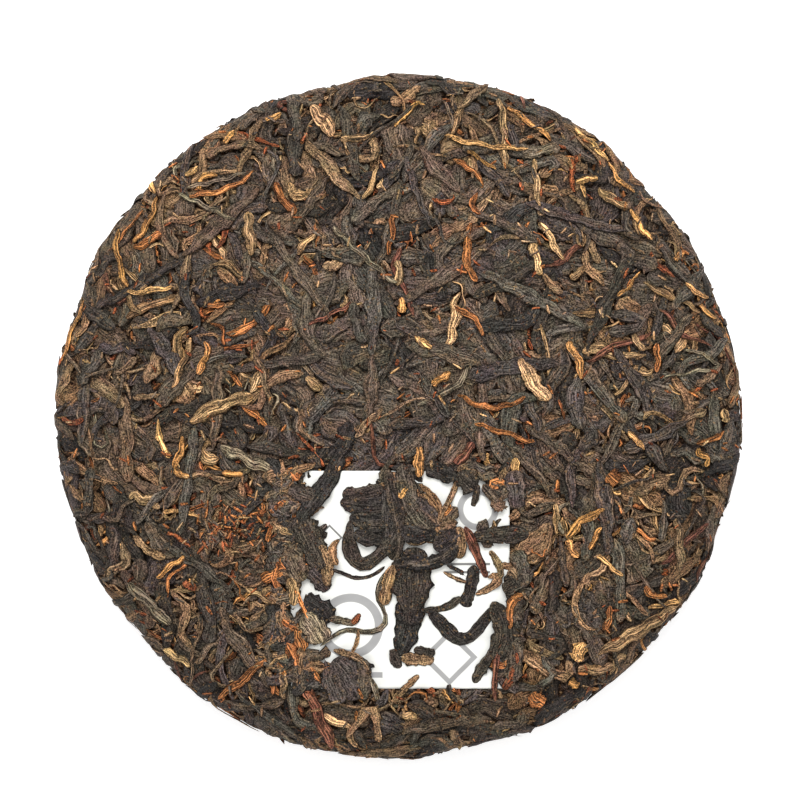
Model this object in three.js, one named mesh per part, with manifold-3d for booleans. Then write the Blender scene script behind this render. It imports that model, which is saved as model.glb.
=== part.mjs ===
// A pressed tea cake: a flattened dome of twisted leaves, with a hollow in the middle of its
// back, and a square paper ticket pressed in among the leaves of its face.
// Millimetres, +Z up. The cake lies on its back, with the origin under its centre.

import * as THREE from "three";
import { mergeVertices } from "three/addons/utils/BufferGeometryUtils.js";
import Module from "manifold-3d";

const wasm = await Module();
wasm.setup();

// Driving sizes of the pressed body. The face drops by DOME_DROP from its middle to the full
// radius, if its curve ran on so far; the rim's curves leave the face and the resting ring by
// their pulls; the back rests on a flat ring round its hollow.
const CAKE_RADIUS = 98.6;
const CENTRE_HEIGHT = 23.6;
const DOME_DROP = 6.4;
const SHOULDER_START = 84;
const SHOULDER_PULL = 9;
const BAND_TOP = 11.5;
const BAND_BOTTOM = 8.5;
const BAND_PULL_UP = 3.4;
const BAND_PULL_DOWN = 5.1;
const REST_OUTER = 84;
const REST_INNER = 30;
const REST_PULL = 9;
const HOLLOW_DEPTH = 8.5;
const HOLLOW_FLAT = 8;
const HOLLOW_PULL = 7;
const HOLLOW_WALL_PULL = 12;
const FACE_STEPS = 7;
const CURVE_STEPS = 6;
const TURN_STEPS = 48;

// How uneven the pressed body is: waves round the outline and over the face
const OUTLINE_WAVES = [
  { count: 4, size: 0.45, phase: 2.6 },
  { count: 6, size: 0.35, phase: 0.7 },
  { count: 12, size: 0.35, phase: 1.9 },
  { count: 18, size: 0.3, phase: 4.1 },
];
const FACE_WAVE = 0.35;
const FACE_WAVE_LENGTH = 21;

// The ticket: a square of paper, sunk under the face by about one leaf's thickness
const TICKET = { x: 0.6, y: -47.2, width: 62, height: 61.8, thickness: 0.5, sunk: 1.1, steps: 10 };
const TICKET_WAVE = 0.14;
const TICKET_WAVE_LENGTH = 11;
const GAP = 0.3;
const POCKET_RISE = 6;

// Leaves: the sides and rings of each solid, its thickness as a share of its width, and the
// zones that they lie in. A zone has a count, the ranges of length and width, how far a leaf
// stands proud, the number that its draws start from, and its inner and outer reach over the
// surface, from the middle of the face or, for the hollow and the lower edge, of the back.
const LEAF_SIDES = 4;
const LEAF_RINGS = 5;
const LEAF_THICKNESS = 0.55;
const LEAF_BOW = 0.16;
const LEAF_FLOOR = 0.15;
const FACE_ZONE = {
  count: 44, length: [17, 34], width: [2.8, 5.2], proud: 0.9, first: 1, inner: 6, outer: 84,
};
const RIM_ZONE = {
  count: 26, length: [14, 26], width: [2.6, 4.4], proud: 0.85, first: 201, inner: 90, outer: 106,
};
const HOLLOW_ZONE = {
  count: 9, length: [10, 16], width: [2.4, 4.0], proud: 0.8, first: 401, inner: 4, outer: 22,
};
const LOWER_ZONE = {
  count: 10, length: [14, 24], width: [2.6, 4.0], proud: 0.8, first: 601, inner: 97, outer: 104,
};
const LANDMARK_PROUD = 1.2;
const OVER_TICKET_LIFT = 0.1;
const GOLDEN_TURN = Math.PI * (3 - Math.sqrt(5));
const JOIN_TOLERANCE = 0.03;

// The leaves and stalks that stand out on the face: each one's middle, heading in degrees,
// length, width and sideways bow
const FACE_LANDMARKS = [
  { x: -24.5, y: -79.4, heading: -69, length: 33, width: 3.4, bow: -1.2 },
  { x: -52.9, y: 2.0, heading: 14, length: 21, width: 4.2, bow: 1.5 },
  { x: 38.2, y: 8.3, heading: -60, length: 15, width: 4.2, bow: 1.4 },
  { x: 68.6, y: -60.8, heading: 27, length: 27, width: 4.2, bow: -2.0 },
  { x: -9.8, y: 46.1, heading: -43, length: 26, width: 2.6, bow: 1.6 },
  { x: 29.4, y: 81.3, heading: -80, length: 21, width: 2.8, bow: -1.2 },
  { x: 60.8, y: 70.6, heading: -42, length: 29, width: 2.8, bow: -2.4 },
  { x: -70.6, y: -54.9, heading: -47, length: 18, width: 3.6, bow: -0.8 },
  { x: 80.4, y: -38.2, heading: -88, length: 17, width: 3.6, bow: 0.8 },
  { x: 26.5, y: -1.0, heading: -6, length: 22, width: 2.8, bow: 3.4 },
  { x: -56.8, y: 62.7, heading: -72, length: 16, width: 3.0, bow: 2.4 },
  { x: -42.1, y: -73.5, heading: -42, length: 20, width: 3.0, bow: 1.0 },
];

// The leaves that cross the ticket, laid over it from the face around it
const TICKET_LEAVES = [
  { x: 2.4, y: -60.8, heading: -94, length: 42, width: 8.6, bow: -1.6 },
  { x: -8.8, y: -25.5, heading: -125, length: 26, width: 9.0, bow: 1.6 },
  { x: -11.8, y: -77.4, heading: 66, length: 22, width: 7.6, bow: 0.6 },
  { x: 15.2, y: -58.8, heading: 32, length: 26, width: 3.6, bow: 3.4 },
  { x: 26.9, y: -65.2, heading: -72, length: 30, width: 4.0, bow: 2.6 },
  { x: -1.0, y: -24.5, heading: -80, length: 26, width: 4.6, bow: 0.5 },
  { x: 28.9, y: -34.8, heading: 2, length: 21, width: 4.2, bow: -0.6 },
  { x: 21.6, y: -39.7, heading: -62, length: 22, width: 3.0, bow: 0.2 },
];

// A fixed draw between 0 and 1 for a leaf's number and one of its properties
function draw(number, property) {
  const value = Math.sin(number * 12.9898 + property * 78.233) * 43758.5453;
  return value - Math.floor(value);
}

function between([low, high], share) {
  return low + (high - low) * share;
}

// The body's outline in section, from the middle of the face round to the middle of the back
function sectionPoints() {
  const domeHeight = (radius) => CENTRE_HEIGHT - DOME_DROP * (radius / CAKE_RADIUS) ** 2;
  const domeSlope = (-2 * DOME_DROP * SHOULDER_START) / CAKE_RADIUS ** 2;
  const shoulderHeight = domeHeight(SHOULDER_START);
  const face = Array.from({ length: FACE_STEPS }, (_, step) => {
    const radius = (SHOULDER_START * step) / FACE_STEPS;
    return new THREE.Vector2(radius, domeHeight(radius));
  });
  const rim = new THREE.Path();
  rim.moveTo(SHOULDER_START, shoulderHeight);
  rim.bezierCurveTo(
    SHOULDER_START + SHOULDER_PULL, shoulderHeight + SHOULDER_PULL * domeSlope,
    CAKE_RADIUS, BAND_TOP + BAND_PULL_UP,
    CAKE_RADIUS, BAND_TOP,
  );
  rim.lineTo(CAKE_RADIUS, BAND_BOTTOM);
  rim.bezierCurveTo(
    CAKE_RADIUS, BAND_BOTTOM - BAND_PULL_DOWN,
    REST_OUTER + REST_PULL, 0,
    REST_OUTER, 0,
  );
  const hollow = new THREE.Path();
  hollow.moveTo(REST_INNER, 0);
  hollow.bezierCurveTo(
    REST_INNER - HOLLOW_PULL, 0,
    HOLLOW_FLAT + HOLLOW_WALL_PULL, HOLLOW_DEPTH,
    HOLLOW_FLAT, HOLLOW_DEPTH,
  );
  hollow.lineTo(0, HOLLOW_DEPTH);
  return [...face, ...rim.getPoints(CURVE_STEPS), ...hollow.getPoints(CURVE_STEPS)];
}

const section = sectionPoints();
const sectionLengths = section.reduce((sums, point, index) => {
  const step = index === 0 ? 0 : point.distanceTo(section[index - 1]);
  sums.push((sums.at(-1) ?? 0) + step);
  return sums;
}, []);
const sectionLength = sectionLengths.at(-1);

// The outline's share of unevenness at a height: none on the resting face
function outlineSwell(angle, radius, height) {
  let swell = 0;
  for (const wave of OUTLINE_WAVES) {
    swell += wave.size * Math.sin(wave.count * angle + wave.phase);
  }
  const outer = THREE.MathUtils.smoothstep(radius, 0.6 * CAKE_RADIUS, CAKE_RADIUS);
  const raised = THREE.MathUtils.smoothstep(height, 0, 0.25 * CENTRE_HEIGHT);
  return swell * outer * raised;
}

// The face's slow rise and fall
function faceWave(x, y, height) {
  const raised = THREE.MathUtils.smoothstep(height, 0.45 * CENTRE_HEIGHT, 0.7 * CENTRE_HEIGHT);
  const across = Math.sin((2 * Math.PI * x) / FACE_WAVE_LENGTH + 1.3);
  const along = Math.sin((2 * Math.PI * (y + 0.4 * x)) / (1.3 * FACE_WAVE_LENGTH));
  return FACE_WAVE * across * along * raised;
}

// Moves a point of the plain turned body to the uneven one
function uneven(point) {
  const radius = Math.hypot(point.x, point.y);
  const angle = Math.atan2(point.y, point.x);
  const scale = radius > 0 ? 1 + outlineSwell(angle, radius, point.z) / radius : 1;
  const x = point.x * scale;
  const y = point.y * scale;
  return new THREE.Vector3(x, y, point.z + faceWave(x, y, point.z));
}

// The section's point and outward direction at an arc length from the middle of the face
function sectionAt(length) {
  const wanted = THREE.MathUtils.clamp(length, 0, sectionLength);
  let index = 1;
  while (index < section.length - 1 && sectionLengths[index] < wanted) {
    index += 1;
  }
  const start = section[index - 1];
  const end = section[index];
  const share = (wanted - sectionLengths[index - 1]) / (sectionLengths[index] - sectionLengths[index - 1]);
  const along = end.clone().sub(start).normalize();
  return { point: start.clone().lerp(end, share), outward: new THREE.Vector2(-along.y, along.x) };
}

// A place on the body: its surface unrolled to a flat disc about the middle of the face, or
// about the middle of the back, with the point on the surface and the way out of it
function surfaceAt(x, y, onBack) {
  const reach = Math.hypot(x, y);
  const angle = Math.atan2(y, x);
  const { point, outward } = sectionAt(onBack ? sectionLength - reach : reach);
  const turn = (radius, height) =>
    new THREE.Vector3(radius * Math.cos(angle), radius * Math.sin(angle), height);
  return { point: uneven(turn(point.x, point.y)), outward: turn(outward.x, outward.y) };
}

// A closed mesh as a solid for joining and cutting
function toSolid(geometry) {
  const bare = geometry.clone();
  bare.deleteAttribute("normal");
  bare.deleteAttribute("uv");
  const merged = mergeVertices(bare, 1e-4);
  const mesh = new wasm.Mesh({
    numProp: 3,
    vertProperties: new Float32Array(merged.attributes.position.array),
    triVerts: new Uint32Array(merged.index.array),
    tolerance: JOIN_TOLERANCE,
  });
  return new wasm.Manifold(mesh);
}

function toGeometry(solid) {
  const mesh = solid.getMesh();
  const geometry = new THREE.BufferGeometry();
  geometry.setAttribute("position", new THREE.BufferAttribute(mesh.vertProperties, 3));
  geometry.setIndex(new THREE.BufferAttribute(mesh.triVerts, 1));
  geometry.computeVertexNormals();
  return geometry;
}

// Moves every vertex of a geometry by a rule
function reshape(geometry, rule) {
  const positions = geometry.attributes.position;
  const vertex = new THREE.Vector3();
  for (let index = 0; index < positions.count; index += 1) {
    vertex.fromBufferAttribute(positions, index);
    const moved = rule(vertex);
    positions.setXYZ(index, moved.x, moved.y, moved.z);
  }
  return geometry;
}

// The pressed body without its loose-looking leaves
function bodySolid() {
  const profile = section.map((point) => point.clone()).reverse();
  const turned = new THREE.LatheGeometry(profile, TURN_STEPS);
  turned.rotateX(Math.PI / 2);
  return toSolid(reshape(turned, uneven));
}

// One leaf: a sphere drawn out along a bowed path over the surface, flat and blunt-ended.
// lift is the height of the leaf's middle above the surface.
function leafSolid(leaf, lift, onBack) {
  const ball = new THREE.SphereGeometry(1, LEAF_SIDES, LEAF_RINGS);
  ball.rotateZ(-Math.PI / 2);
  const heading = THREE.MathUtils.degToRad(leaf.heading);
  const ahead = new THREE.Vector2(Math.cos(heading), Math.sin(heading));
  const handed = onBack ? -1 : 1;
  const aside = new THREE.Vector2(-ahead.y, ahead.x).multiplyScalar(handed);
  const place = (along, across) => {
    const bowed = across + leaf.bow * (0.5 - 2 * along * along);
    return surfaceAt(
      leaf.x + ahead.x * along * leaf.length + aside.x * bowed,
      leaf.y + ahead.y * along * leaf.length + aside.y * bowed,
      onBack,
    );
  };
  const shape = (vertex) => {
    const along = -Math.asin(THREE.MathUtils.clamp(-vertex.x, -1, 1)) / Math.PI;
    const roundness = Math.hypot(vertex.y, vertex.z);
    const blunt = roundness > 0 ? Math.sqrt(roundness) / roundness : 0;
    const across = 0.5 * leaf.width * vertex.y * blunt;
    const rise = 0.5 * leaf.width * LEAF_THICKNESS * vertex.z * blunt;
    const { point, outward } = place(along, across);
    point.addScaledVector(outward, rise + lift);
    point.z = Math.max(point.z, LEAF_FLOOR);
    return point;
  };
  return toSolid(reshape(ball, shape));
}

// Leaves spread evenly over a zone by the golden angle, with drawn headings and sizes
function zoneLeaves(zone) {
  return Array.from({ length: zone.count }, (_, index) => {
    const number = zone.first + index;
    const share = (index + 0.5) / zone.count;
    const reach = Math.sqrt(zone.inner ** 2 + (zone.outer ** 2 - zone.inner ** 2) * share);
    const angle = number * GOLDEN_TURN;
    const length = between(zone.length, draw(number, 2));
    return {
      x: reach * Math.cos(angle),
      y: reach * Math.sin(angle),
      heading: 360 * draw(number, 1),
      length,
      width: between(zone.width, draw(number, 3)),
      bow: LEAF_BOW * length * (draw(number, 4) - 0.5),
    };
  });
}

// Leaves sunk in the surface until only their backs stand proud of it
function sunkLeaves(leaves, proud, onBack) {
  return leaves.map((leaf) => leafSolid(leaf, proud - 0.5 * leaf.width * LEAF_THICKNESS, onBack));
}

// The ticket's own surface: the bare face, sunk and gently crinkled
function ticketHeight(x, y) {
  const crinkle = Math.sin((2 * Math.PI * x) / TICKET_WAVE_LENGTH) *
    Math.cos((2 * Math.PI * (y + 0.3 * x)) / (0.8 * TICKET_WAVE_LENGTH));
  return surfaceAt(x, y, false).point.z - TICKET.sunk + TICKET_WAVE * crinkle;
}

// A wavy sheet on the ticket's surface, from one height to another, both faces split alike
function ticketSheet(margin, low, high) {
  const { width, height, steps } = TICKET;
  const face = new THREE.PlaneGeometry(width + 2 * margin, height + 2 * margin, steps, steps);
  face.translate(TICKET.x, TICKET.y, 0);
  const flat = face.attributes.position;
  const count = flat.count;
  const positions = new Float32Array(6 * count);
  for (let index = 0; index < count; index += 1) {
    const x = flat.getX(index);
    const y = flat.getY(index);
    const level = ticketHeight(x, y);
    positions.set([x, y, level + high], 3 * index);
    positions.set([x, y, level + low], 3 * (count + index));
  }
  const top = Array.from(face.index.array);
  const triangles = [...top];
  for (let index = 0; index < top.length; index += 3) {
    triangles.push(top[index] + count, top[index + 2] + count, top[index + 1] + count);
  }
  const row = steps + 1;
  const sides = [
    (step) => step,
    (step) => steps + step * row,
    (step) => count - 1 - step,
    (step) => count - row - step * row,
  ];
  const edge = sides.flatMap((side) => Array.from({ length: steps }, (_, step) => side(step)));
  edge.forEach((from, index) => {
    const to = edge[(index + 1) % edge.length];
    triangles.push(from, to, to + count, from, to + count, from + count);
  });
  const sheet = new THREE.BufferGeometry();
  sheet.setAttribute("position", new THREE.BufferAttribute(positions, 3));
  sheet.setIndex(triangles);
  return sheet;
}

// Whether a leaf's middle lies over the ticket
function liesOnTicket(leaf) {
  return Math.abs(leaf.x - TICKET.x) < TICKET.width / 2 &&
    Math.abs(leaf.y - TICKET.y) < TICKET.height / 2;
}

// The largest piece of a solid: loose scraps and sealed hollows are let go
function mainPiece(solid) {
  const pieces = solid.decompose();
  return pieces.reduce((best, piece) => (piece.volume() > best.volume() ? piece : best));
}

function cakeSolid() {
  const faceLeaves = zoneLeaves(FACE_ZONE).filter((leaf) => !liesOnTicket(leaf));
  const leaves = [
    ...sunkLeaves(faceLeaves, FACE_ZONE.proud, false),
    ...sunkLeaves(zoneLeaves(RIM_ZONE), RIM_ZONE.proud, false),
    ...sunkLeaves(zoneLeaves(HOLLOW_ZONE), HOLLOW_ZONE.proud, true),
    ...sunkLeaves(zoneLeaves(LOWER_ZONE), LOWER_ZONE.proud, true),
    ...sunkLeaves(FACE_LANDMARKS, LANDMARK_PROUD, false),
    ...TICKET_LEAVES.map((leaf) => leafSolid(leaf, OVER_TICKET_LIFT, false)),
  ];
  const half = TICKET.thickness / 2 + GAP;
  const pocket = toSolid(ticketSheet(GAP, -half, POCKET_RISE));
  const slot = toSolid(ticketSheet(GAP, -half, half));
  const joined = leaves.reduce((sum, leaf) => sum.add(leaf), bodySolid().subtract(pocket));
  return mainPiece(joined.subtract(slot));
}

function cakeMesh() {
  const material = new THREE.MeshStandardMaterial({ color: 0x5b493c, roughness: 0.85, metalness: 0 });
  const mesh = new THREE.Mesh(toGeometry(cakeSolid()), material);
  mesh.name = "tea_cake";
  return mesh;
}

function ticketMesh() {
  const material = new THREE.MeshStandardMaterial({ color: 0xf3f1ea, roughness: 0.9, metalness: 0 });
  const half = TICKET.thickness / 2;
  const mesh = new THREE.Mesh(ticketSheet(0, -half, half), material);
  mesh.geometry.computeVertexNormals();
  mesh.name = "paper_ticket";
  return mesh;
}

const cake = new THREE.Group();
cake.add(cakeMesh(), ticketMesh());

export default cake;
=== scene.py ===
"""Looks of the pressed tea cake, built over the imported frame.

Sizes are in millimetres until a mesh is made. Each side of the cake is unrolled to a flat disc,
its chart: the way from a chart's middle is the arc length along the body's section. Leaves are
laid on a chart from the outside in, as if from the inside of the mould: the first ones lie
against the mould, the later ones fill what is left open below them.
"""

import math

import bpy
import numpy as np
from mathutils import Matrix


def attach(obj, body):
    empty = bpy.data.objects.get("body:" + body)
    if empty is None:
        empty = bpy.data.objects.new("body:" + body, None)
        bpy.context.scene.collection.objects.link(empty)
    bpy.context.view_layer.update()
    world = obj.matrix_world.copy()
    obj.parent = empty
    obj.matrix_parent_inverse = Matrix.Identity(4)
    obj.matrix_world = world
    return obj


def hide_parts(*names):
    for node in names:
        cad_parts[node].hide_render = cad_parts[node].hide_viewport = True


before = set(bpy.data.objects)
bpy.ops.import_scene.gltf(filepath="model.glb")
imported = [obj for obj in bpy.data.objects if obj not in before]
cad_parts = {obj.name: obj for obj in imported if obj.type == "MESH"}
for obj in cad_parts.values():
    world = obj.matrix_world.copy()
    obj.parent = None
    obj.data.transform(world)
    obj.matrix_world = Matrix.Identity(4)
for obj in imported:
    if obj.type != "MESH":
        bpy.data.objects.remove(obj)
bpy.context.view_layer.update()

MM = 0.001
SEED = 11

# The body's section, as the solid has it
CAKE_RADIUS = 98.6
CENTRE_HEIGHT = 23.6
DOME_DROP = 6.4
SHOULDER_START = 84
SHOULDER_PULL = 9
BAND_TOP = 11.5
BAND_BOTTOM = 8.5
BAND_PULL_UP = 3.4
BAND_PULL_DOWN = 5.1
REST_OUTER = 84
REST_INNER = 30
REST_PULL = 9
HOLLOW_DEPTH = 8.5
HOLLOW_FLAT = 8
HOLLOW_PULL = 7
HOLLOW_WALL_PULL = 12
CURVE_STEPS = 60

# Its uneven outline: count, size and phase of each wave, and the shares of the radius and of
# the height over which they set in
OUTLINE_WAVES = ((4, 0.45, 2.6), (6, 0.35, 0.7), (12, 0.35, 1.9), (18, 0.3, 4.1))
OUTLINE_FROM_RADIUS = 0.6
OUTLINE_FROM_HEIGHT = 0.25

# The waves of its face: size, length, phase, slant, and the shares of the height where they start
FACE_WAVE = 0.35
FACE_WAVE_LENGTH = 21
FACE_WAVE_PHASE = 1.3
FACE_WAVE_SLANT = 0.4
FACE_WAVE_STRETCH = 1.3
FACE_WAVE_STARTS = (0.45, 0.7)

# The ticket and its crinkles; its pocket's depth and the paper's top above the pocket's floor
# give the paper's level, measured from the bare face
TICKET_MIDDLE = (0.6, -47.2)
TICKET_SIZE = (62.0, 61.8)
TICKET_SUNK = 1.1
TICKET_TOP = 0.25
PAPER_LEVEL = TICKET_TOP - TICKET_SUNK
TICKET_WAVE = 0.14
TICKET_WAVE_LENGTH = 11
TICKET_CREASES = ((0.09, 5.0, 33), (0.05, 2.4, 34))
TICKET_THICKNESS = 0.18
TICKET_STEPS = 96

# Where the face is pressed smoothest, the share of large leaves kept there, and the share of
# its light leaves that turn dark
QUIET_MIDDLE = (8.0, 27.0)
QUIET_REACH = 46.0
QUIET_KEPT = 0.55
QUIET_DARKENED = 0.55

# The pile's cell, and how far the charts and the pile's margin reach
CELL = 0.5
FACE_REACH = 113.0
BACK_REACH = 101.0
CHART_MARGIN = 6.0

# The core under the leaves: its depth, its dip under the ticket, its rise in the middle and at
# the rim with the reaches where they change, its roughness, the least height of its points, its
# rows and turns, and the least that a leaf's top stands above it
CORE_DEPTH = 1.5
UNDER_TICKET = 0.7
RISE_IN_MIDDLE = 0.3
MIDDLE_ENDS = (62, 78)
RISE_AT_RIM = 0.95
RIM_STARTS = (90, 98)
RIM_ENDS = (112, 120)
CORE_ROUGHNESS = 0.12
CORE_LOWEST = 0.4
CORE_GRID = (130, 340)
LEAST_COVER = 0.3
GOLDEN_TURN = math.pi * (3 - math.sqrt(5))


def srgb(red, green, blue):
    """The linear colour of three sRGB numbers from 0 to 255."""
    share = np.array([red, green, blue]) / 255
    return np.where(share <= 0.04045, share / 12.92, ((share + 0.055) / 1.055) ** 2.4)


PALETTES = {
    "ink": [srgb(52, 46, 40), srgb(60, 53, 46), srgb(48, 44, 41)],
    "dark": [
        srgb(76, 66, 56), srgb(83, 71, 59), srgb(67, 60, 53), srgb(90, 75, 61),
        srgb(77, 71, 62), srgb(70, 62, 58),
    ],
    "brown": [srgb(112, 87, 63), srgb(123, 94, 67), srgb(101, 80, 60), srgb(119, 89, 62)],
    "tan": [srgb(141, 113, 80), srgb(157, 127, 91), srgb(131, 104, 74)],
    "gold": [srgb(168, 122, 72), srgb(152, 108, 62), srgb(180, 137, 88)],
    "orange": [srgb(143, 91, 52), srgb(130, 80, 46)],
    "rust": [srgb(124, 68, 40), srgb(108, 60, 38)],
    "red": [srgb(106, 67, 50), srgb(94, 59, 46)],
    "grey": [srgb(119, 106, 86), srgb(105, 94, 77)],
}

# The face is nearer to the camera than the outline that the places below are scaled by
NEARER = 0.979

# Leaves that stand out on the face: colour, x and y of three points along each, and width
MARKED_LEAVES = (
    ("gold", -71.5, 64.5, -72, 59, -77.5, 50, 1.8),
    ("orange", -77.5, 49, -73.5, 50, -69.5, 53, 2.6),
    ("gold", -83, 55, -82.5, 45.5, -79, 37, 1.8),
    ("gold", -79.5, 35.5, -72.5, 35.5, -65.5, 37, 1.6),
    ("grey", -64.5, 64.5, -56, 60.5, -47.5, 56.5, 1.4),
    ("orange", -62, 64, -51.5, 64, -42, 71, 1.6),
    ("grey", -62, 66.5, -53.5, 68, -44.5, 71, 1.2),
    ("orange", -36.5, 67.5, -33.5, 62.5, -30, 58, 2.4),
    ("tan", -44, 59, -43.5, 52.5, -42.5, 46, 3.2),
    ("gold", -51.5, 80, -50, 82, -48.5, 84, 1.8),
    ("gold", -62.5, 70, -60.5, 71.5, -59, 73, 1.8),
    ("gold", -39, 86.5, -37, 87.5, -34.5, 89, 1.8),
    ("tan", -26, 91.5, -22.5, 87.5, -19, 82.5, 4.2),
    ("tan", -17, 81, -12.5, 81, -8, 81.5, 2.2),
    ("grey", -19, 54.5, -10, 45.5, -0.5, 37.5, 1.6),
    ("orange", -1.5, 58, -1.5, 51.5, -3, 46, 1.6),
    ("tan", 0, 44.5, 0.5, 41, 0, 37, 2.4),
    ("gold", 13.5, 81.5, 25, 77.5, 38, 77.5, 1.5),
    ("tan", 29.5, 92.5, 31.5, 82.5, 31, 71.5, 2.2),
    ("gold", 20, 76.5, 25, 74, 28.5, 71, 1.0),
    ("orange", 16, 74, 21.5, 72.5, 25, 66, 1.4),
    ("orange", 23, 64.5, 20.5, 61, 24, 58, 1.6),
    ("orange", 21.5, 55.5, 18.5, 46.5, 22.5, 38, 2.2),
    ("tan", -10.5, 62.5, -7, 67, -6, 73, 1.6),
    ("dark", 2, 75.5, 5, 65.5, 9.5, 54.5, 2.0),
    ("dark", 4.5, 78.5, 1.5, 73, -3, 68.5, 2.0),
    ("gold", 32, 90, 39.5, 85, 45, 80, 1.7),
    ("gold", 52, 84.5, 58.5, 79.5, 62, 74.5, 1.7),
    ("gold", 62, 74.5, 65.5, 69.5, 71, 66.5, 1.6),
    ("rust", 53.5, 76, 49, 71, 52, 65, 1.8),
    ("gold", 52, 68, 55, 68.5, 58.5, 69.5, 1.8),
    ("gold", 69.5, 61, 71.5, 55.5, 74.5, 51, 1.8),
    ("gold", 81.5, 45, 83.5, 47, 84.5, 48.5, 1.8),
    ("tan", 50.5, 39, 52.5, 41, 54.5, 43, 2.2),
    ("gold", 64, 34, 67.5, 37, 71, 41.5, 0.9),
    ("tan", 41.5, 56, 45, 50.5, 48, 44.5, 2.0),
    ("brown", 42, 40.5, 45, 37.5, 47.5, 34.5, 2.4),
    ("gold", 84.5, 38.5, 88.5, 36, 92.5, 34.5, 1.6),
    ("grey", 36.5, 75.5, 42, 77.5, 47.5, 77.5, 3.4),
    ("tan", 39.5, 74.5, 40.5, 67.5, 41, 60.5, 1.8),
    ("tan", -60, 22, -62.5, 14.5, -65.5, 7.5, 1.8),
    ("gold", -56, 21, -54.5, 17, -58.5, 11.5, 2.0),
    ("brown", -41.5, 17.5, -38.5, 10, -37, 2.5, 1.8),
    ("tan", -60.5, -2.5, -52.5, 2.5, -42, 5, 4.0),
    ("brown", -77, 4.5, -73, 5, -69, 5.5, 1.8),
    ("brown", -82.5, 11.5, -79, 13.5, -76, 16, 2.0),
    ("gold", -62.5, -6.5, -63.5, -12.5, -65, -16, 2.0),
    ("gold", -65, -16, -63.5, -18, -60.5, -18, 1.8),
    ("grey", -51.5, -9.5, -43.5, -13.5, -34.5, -17.5, 3.4),
    ("gold", -51, -17, -48, -17.5, -45, -18, 1.8),
    ("brown", -32.5, -16, -33.5, -21, -35.5, -25, 2.2),
    ("orange", -55.5, 31.5, -53, 31.5, -50.5, 32, 1.8),
    ("rust", -99, -1, -96, -4, -92, -1, 1.6),
    ("gold", -93.5, 34, -97.5, 25.5, -99, 15.5, 1.6),
    ("gold", -70.5, -48, -66.5, -44.5, -62, -41.5, 1.6),
    ("brown", -77.5, -36, -72.5, -40, -68, -42.5, 2.4),
    ("rust", -67, -34.5, -63.5, -36.5, -60, -38.5, 1.2),
    ("rust", -63, -49.5, -61, -50, -59, -51.5, 2.2),
    ("tan", -44, -50.5, -40.5, -52.5, -37, -54.5, 1.8),
    ("orange", -41, -64, -37.5, -65.5, -34, -68, 1.8),
    ("orange", -37, -70, -44.5, -77, -52.5, -83, 2.2),
    ("grey", -79, -49.5, -73, -56, -67.5, -62.5, 3.4),
    ("tan", -70, -70.5, -65.5, -71.5, -60.5, -73.5, 2.6),
    ("red", -31.5, -65, -27, -77, -19, -98.5, 3.3),
    ("gold", 60, -28, 52.5, -30.5, 49, -36.5, 2.4),
    ("gold", 49, -36.5, 50, -40, 52.5, -41.5, 2.0),
    ("gold", 59, -33, 57, -36, 55.5, -39.5, 1.6),
    ("gold", 57.5, -41, 61.5, -44.5, 65.5, -47, 1.6),
    ("brown", 81.5, -30.5, 82, -38.5, 82, -46, 2.8),
    ("tan", 58, -70, 71.5, -64, 82, -57, 4.2),
    ("gold", 51.5, -72, 52.5, -69.5, 54, -66.5, 4.2),
    ("tan", 52.5, -74.5, 57.5, -75.5, 63, -74, 3.0),
    ("orange", 60, -63, 61.5, -60, 62, -56, 2.0),
    ("orange", 72, -50, 73.5, -53.5, 78.5, -53.5, 1.8),
    ("gold", 50, -78, 51.5, -79, 52.5, -80.5, 2.4),
    ("orange", 38.5, -81.5, 40.5, -83.5, 42.5, -85, 4.6),
    ("dark", -12.5, 32, -13, 26, -9.5, 20.5, 3.0),
    ("red", -13.5, 32, -19.5, 28.5, -26, 25.5, 1.2),
    ("orange", 16.5, 31, 23, 27.5, 25, 22.5, 1.6),
    ("gold", 5, 22.5, 7, 20.5, 9.5, 18.5, 2.0),
    ("orange", 17, 5.5, 26.5, -0.5, 37, 4.5, 1.6),
    ("tan", 35.5, 16, 38, 10, 43.5, 3.5, 4.2),
    ("gold", 10, 8, 12.5, 10, 15, 12, 2.2),
    ("brown", -12.5, -7, -9, -3, -4.5, 1.5, 2.2),
    ("orange", 22, -3, 30.5, -5.5, 39.5, -8.5, 1.4),
    ("gold", 5.8, -9.5, 6.5, -14, 5.8, -18.5, 2.8),
    ("gold", 33.4, -12.9, 34.2, -16.5, 34.6, -19.3, 2.4),
    ("red", 21.8, -8.5, 19.5, -11.5, 17, -14.9, 2.6),
    ("gold", 1, 33.5, 1, 31, 1, 29, 2.2),
    ("tan", -26.5, 10.5, -24.5, 8.5, -22.5, 6.5, 3.0),
    ("dark", 6.5, 10.5, 10.5, 5, 15, -1, 3.0),
    ("gold", 49.5, 21, 52, 16.5, 53.5, 10, 2.4),
    ("grey", 95, 14, 86, 12, 77, 10.5, 1.0),
    ("grey", 84, 19, 89.5, 17, 94.5, 14.5, 1.0),
    ("orange", 75.5, 20.5, 75.5, 16, 75.5, 12, 1.8),
    ("gold", 67, -5, 69, -8, 71.5, -10.5, 1.8),
    ("orange", 61, -17.5, 62.5, -18.5, 64, -20, 4.6),
    ("tan", 95, 1.5, 95.5, 0, 96, -2.5, 2.8),
    ("tan", 68.5, 23, 70, 20.5, 72, 18.5, 2.0),
)

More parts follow.
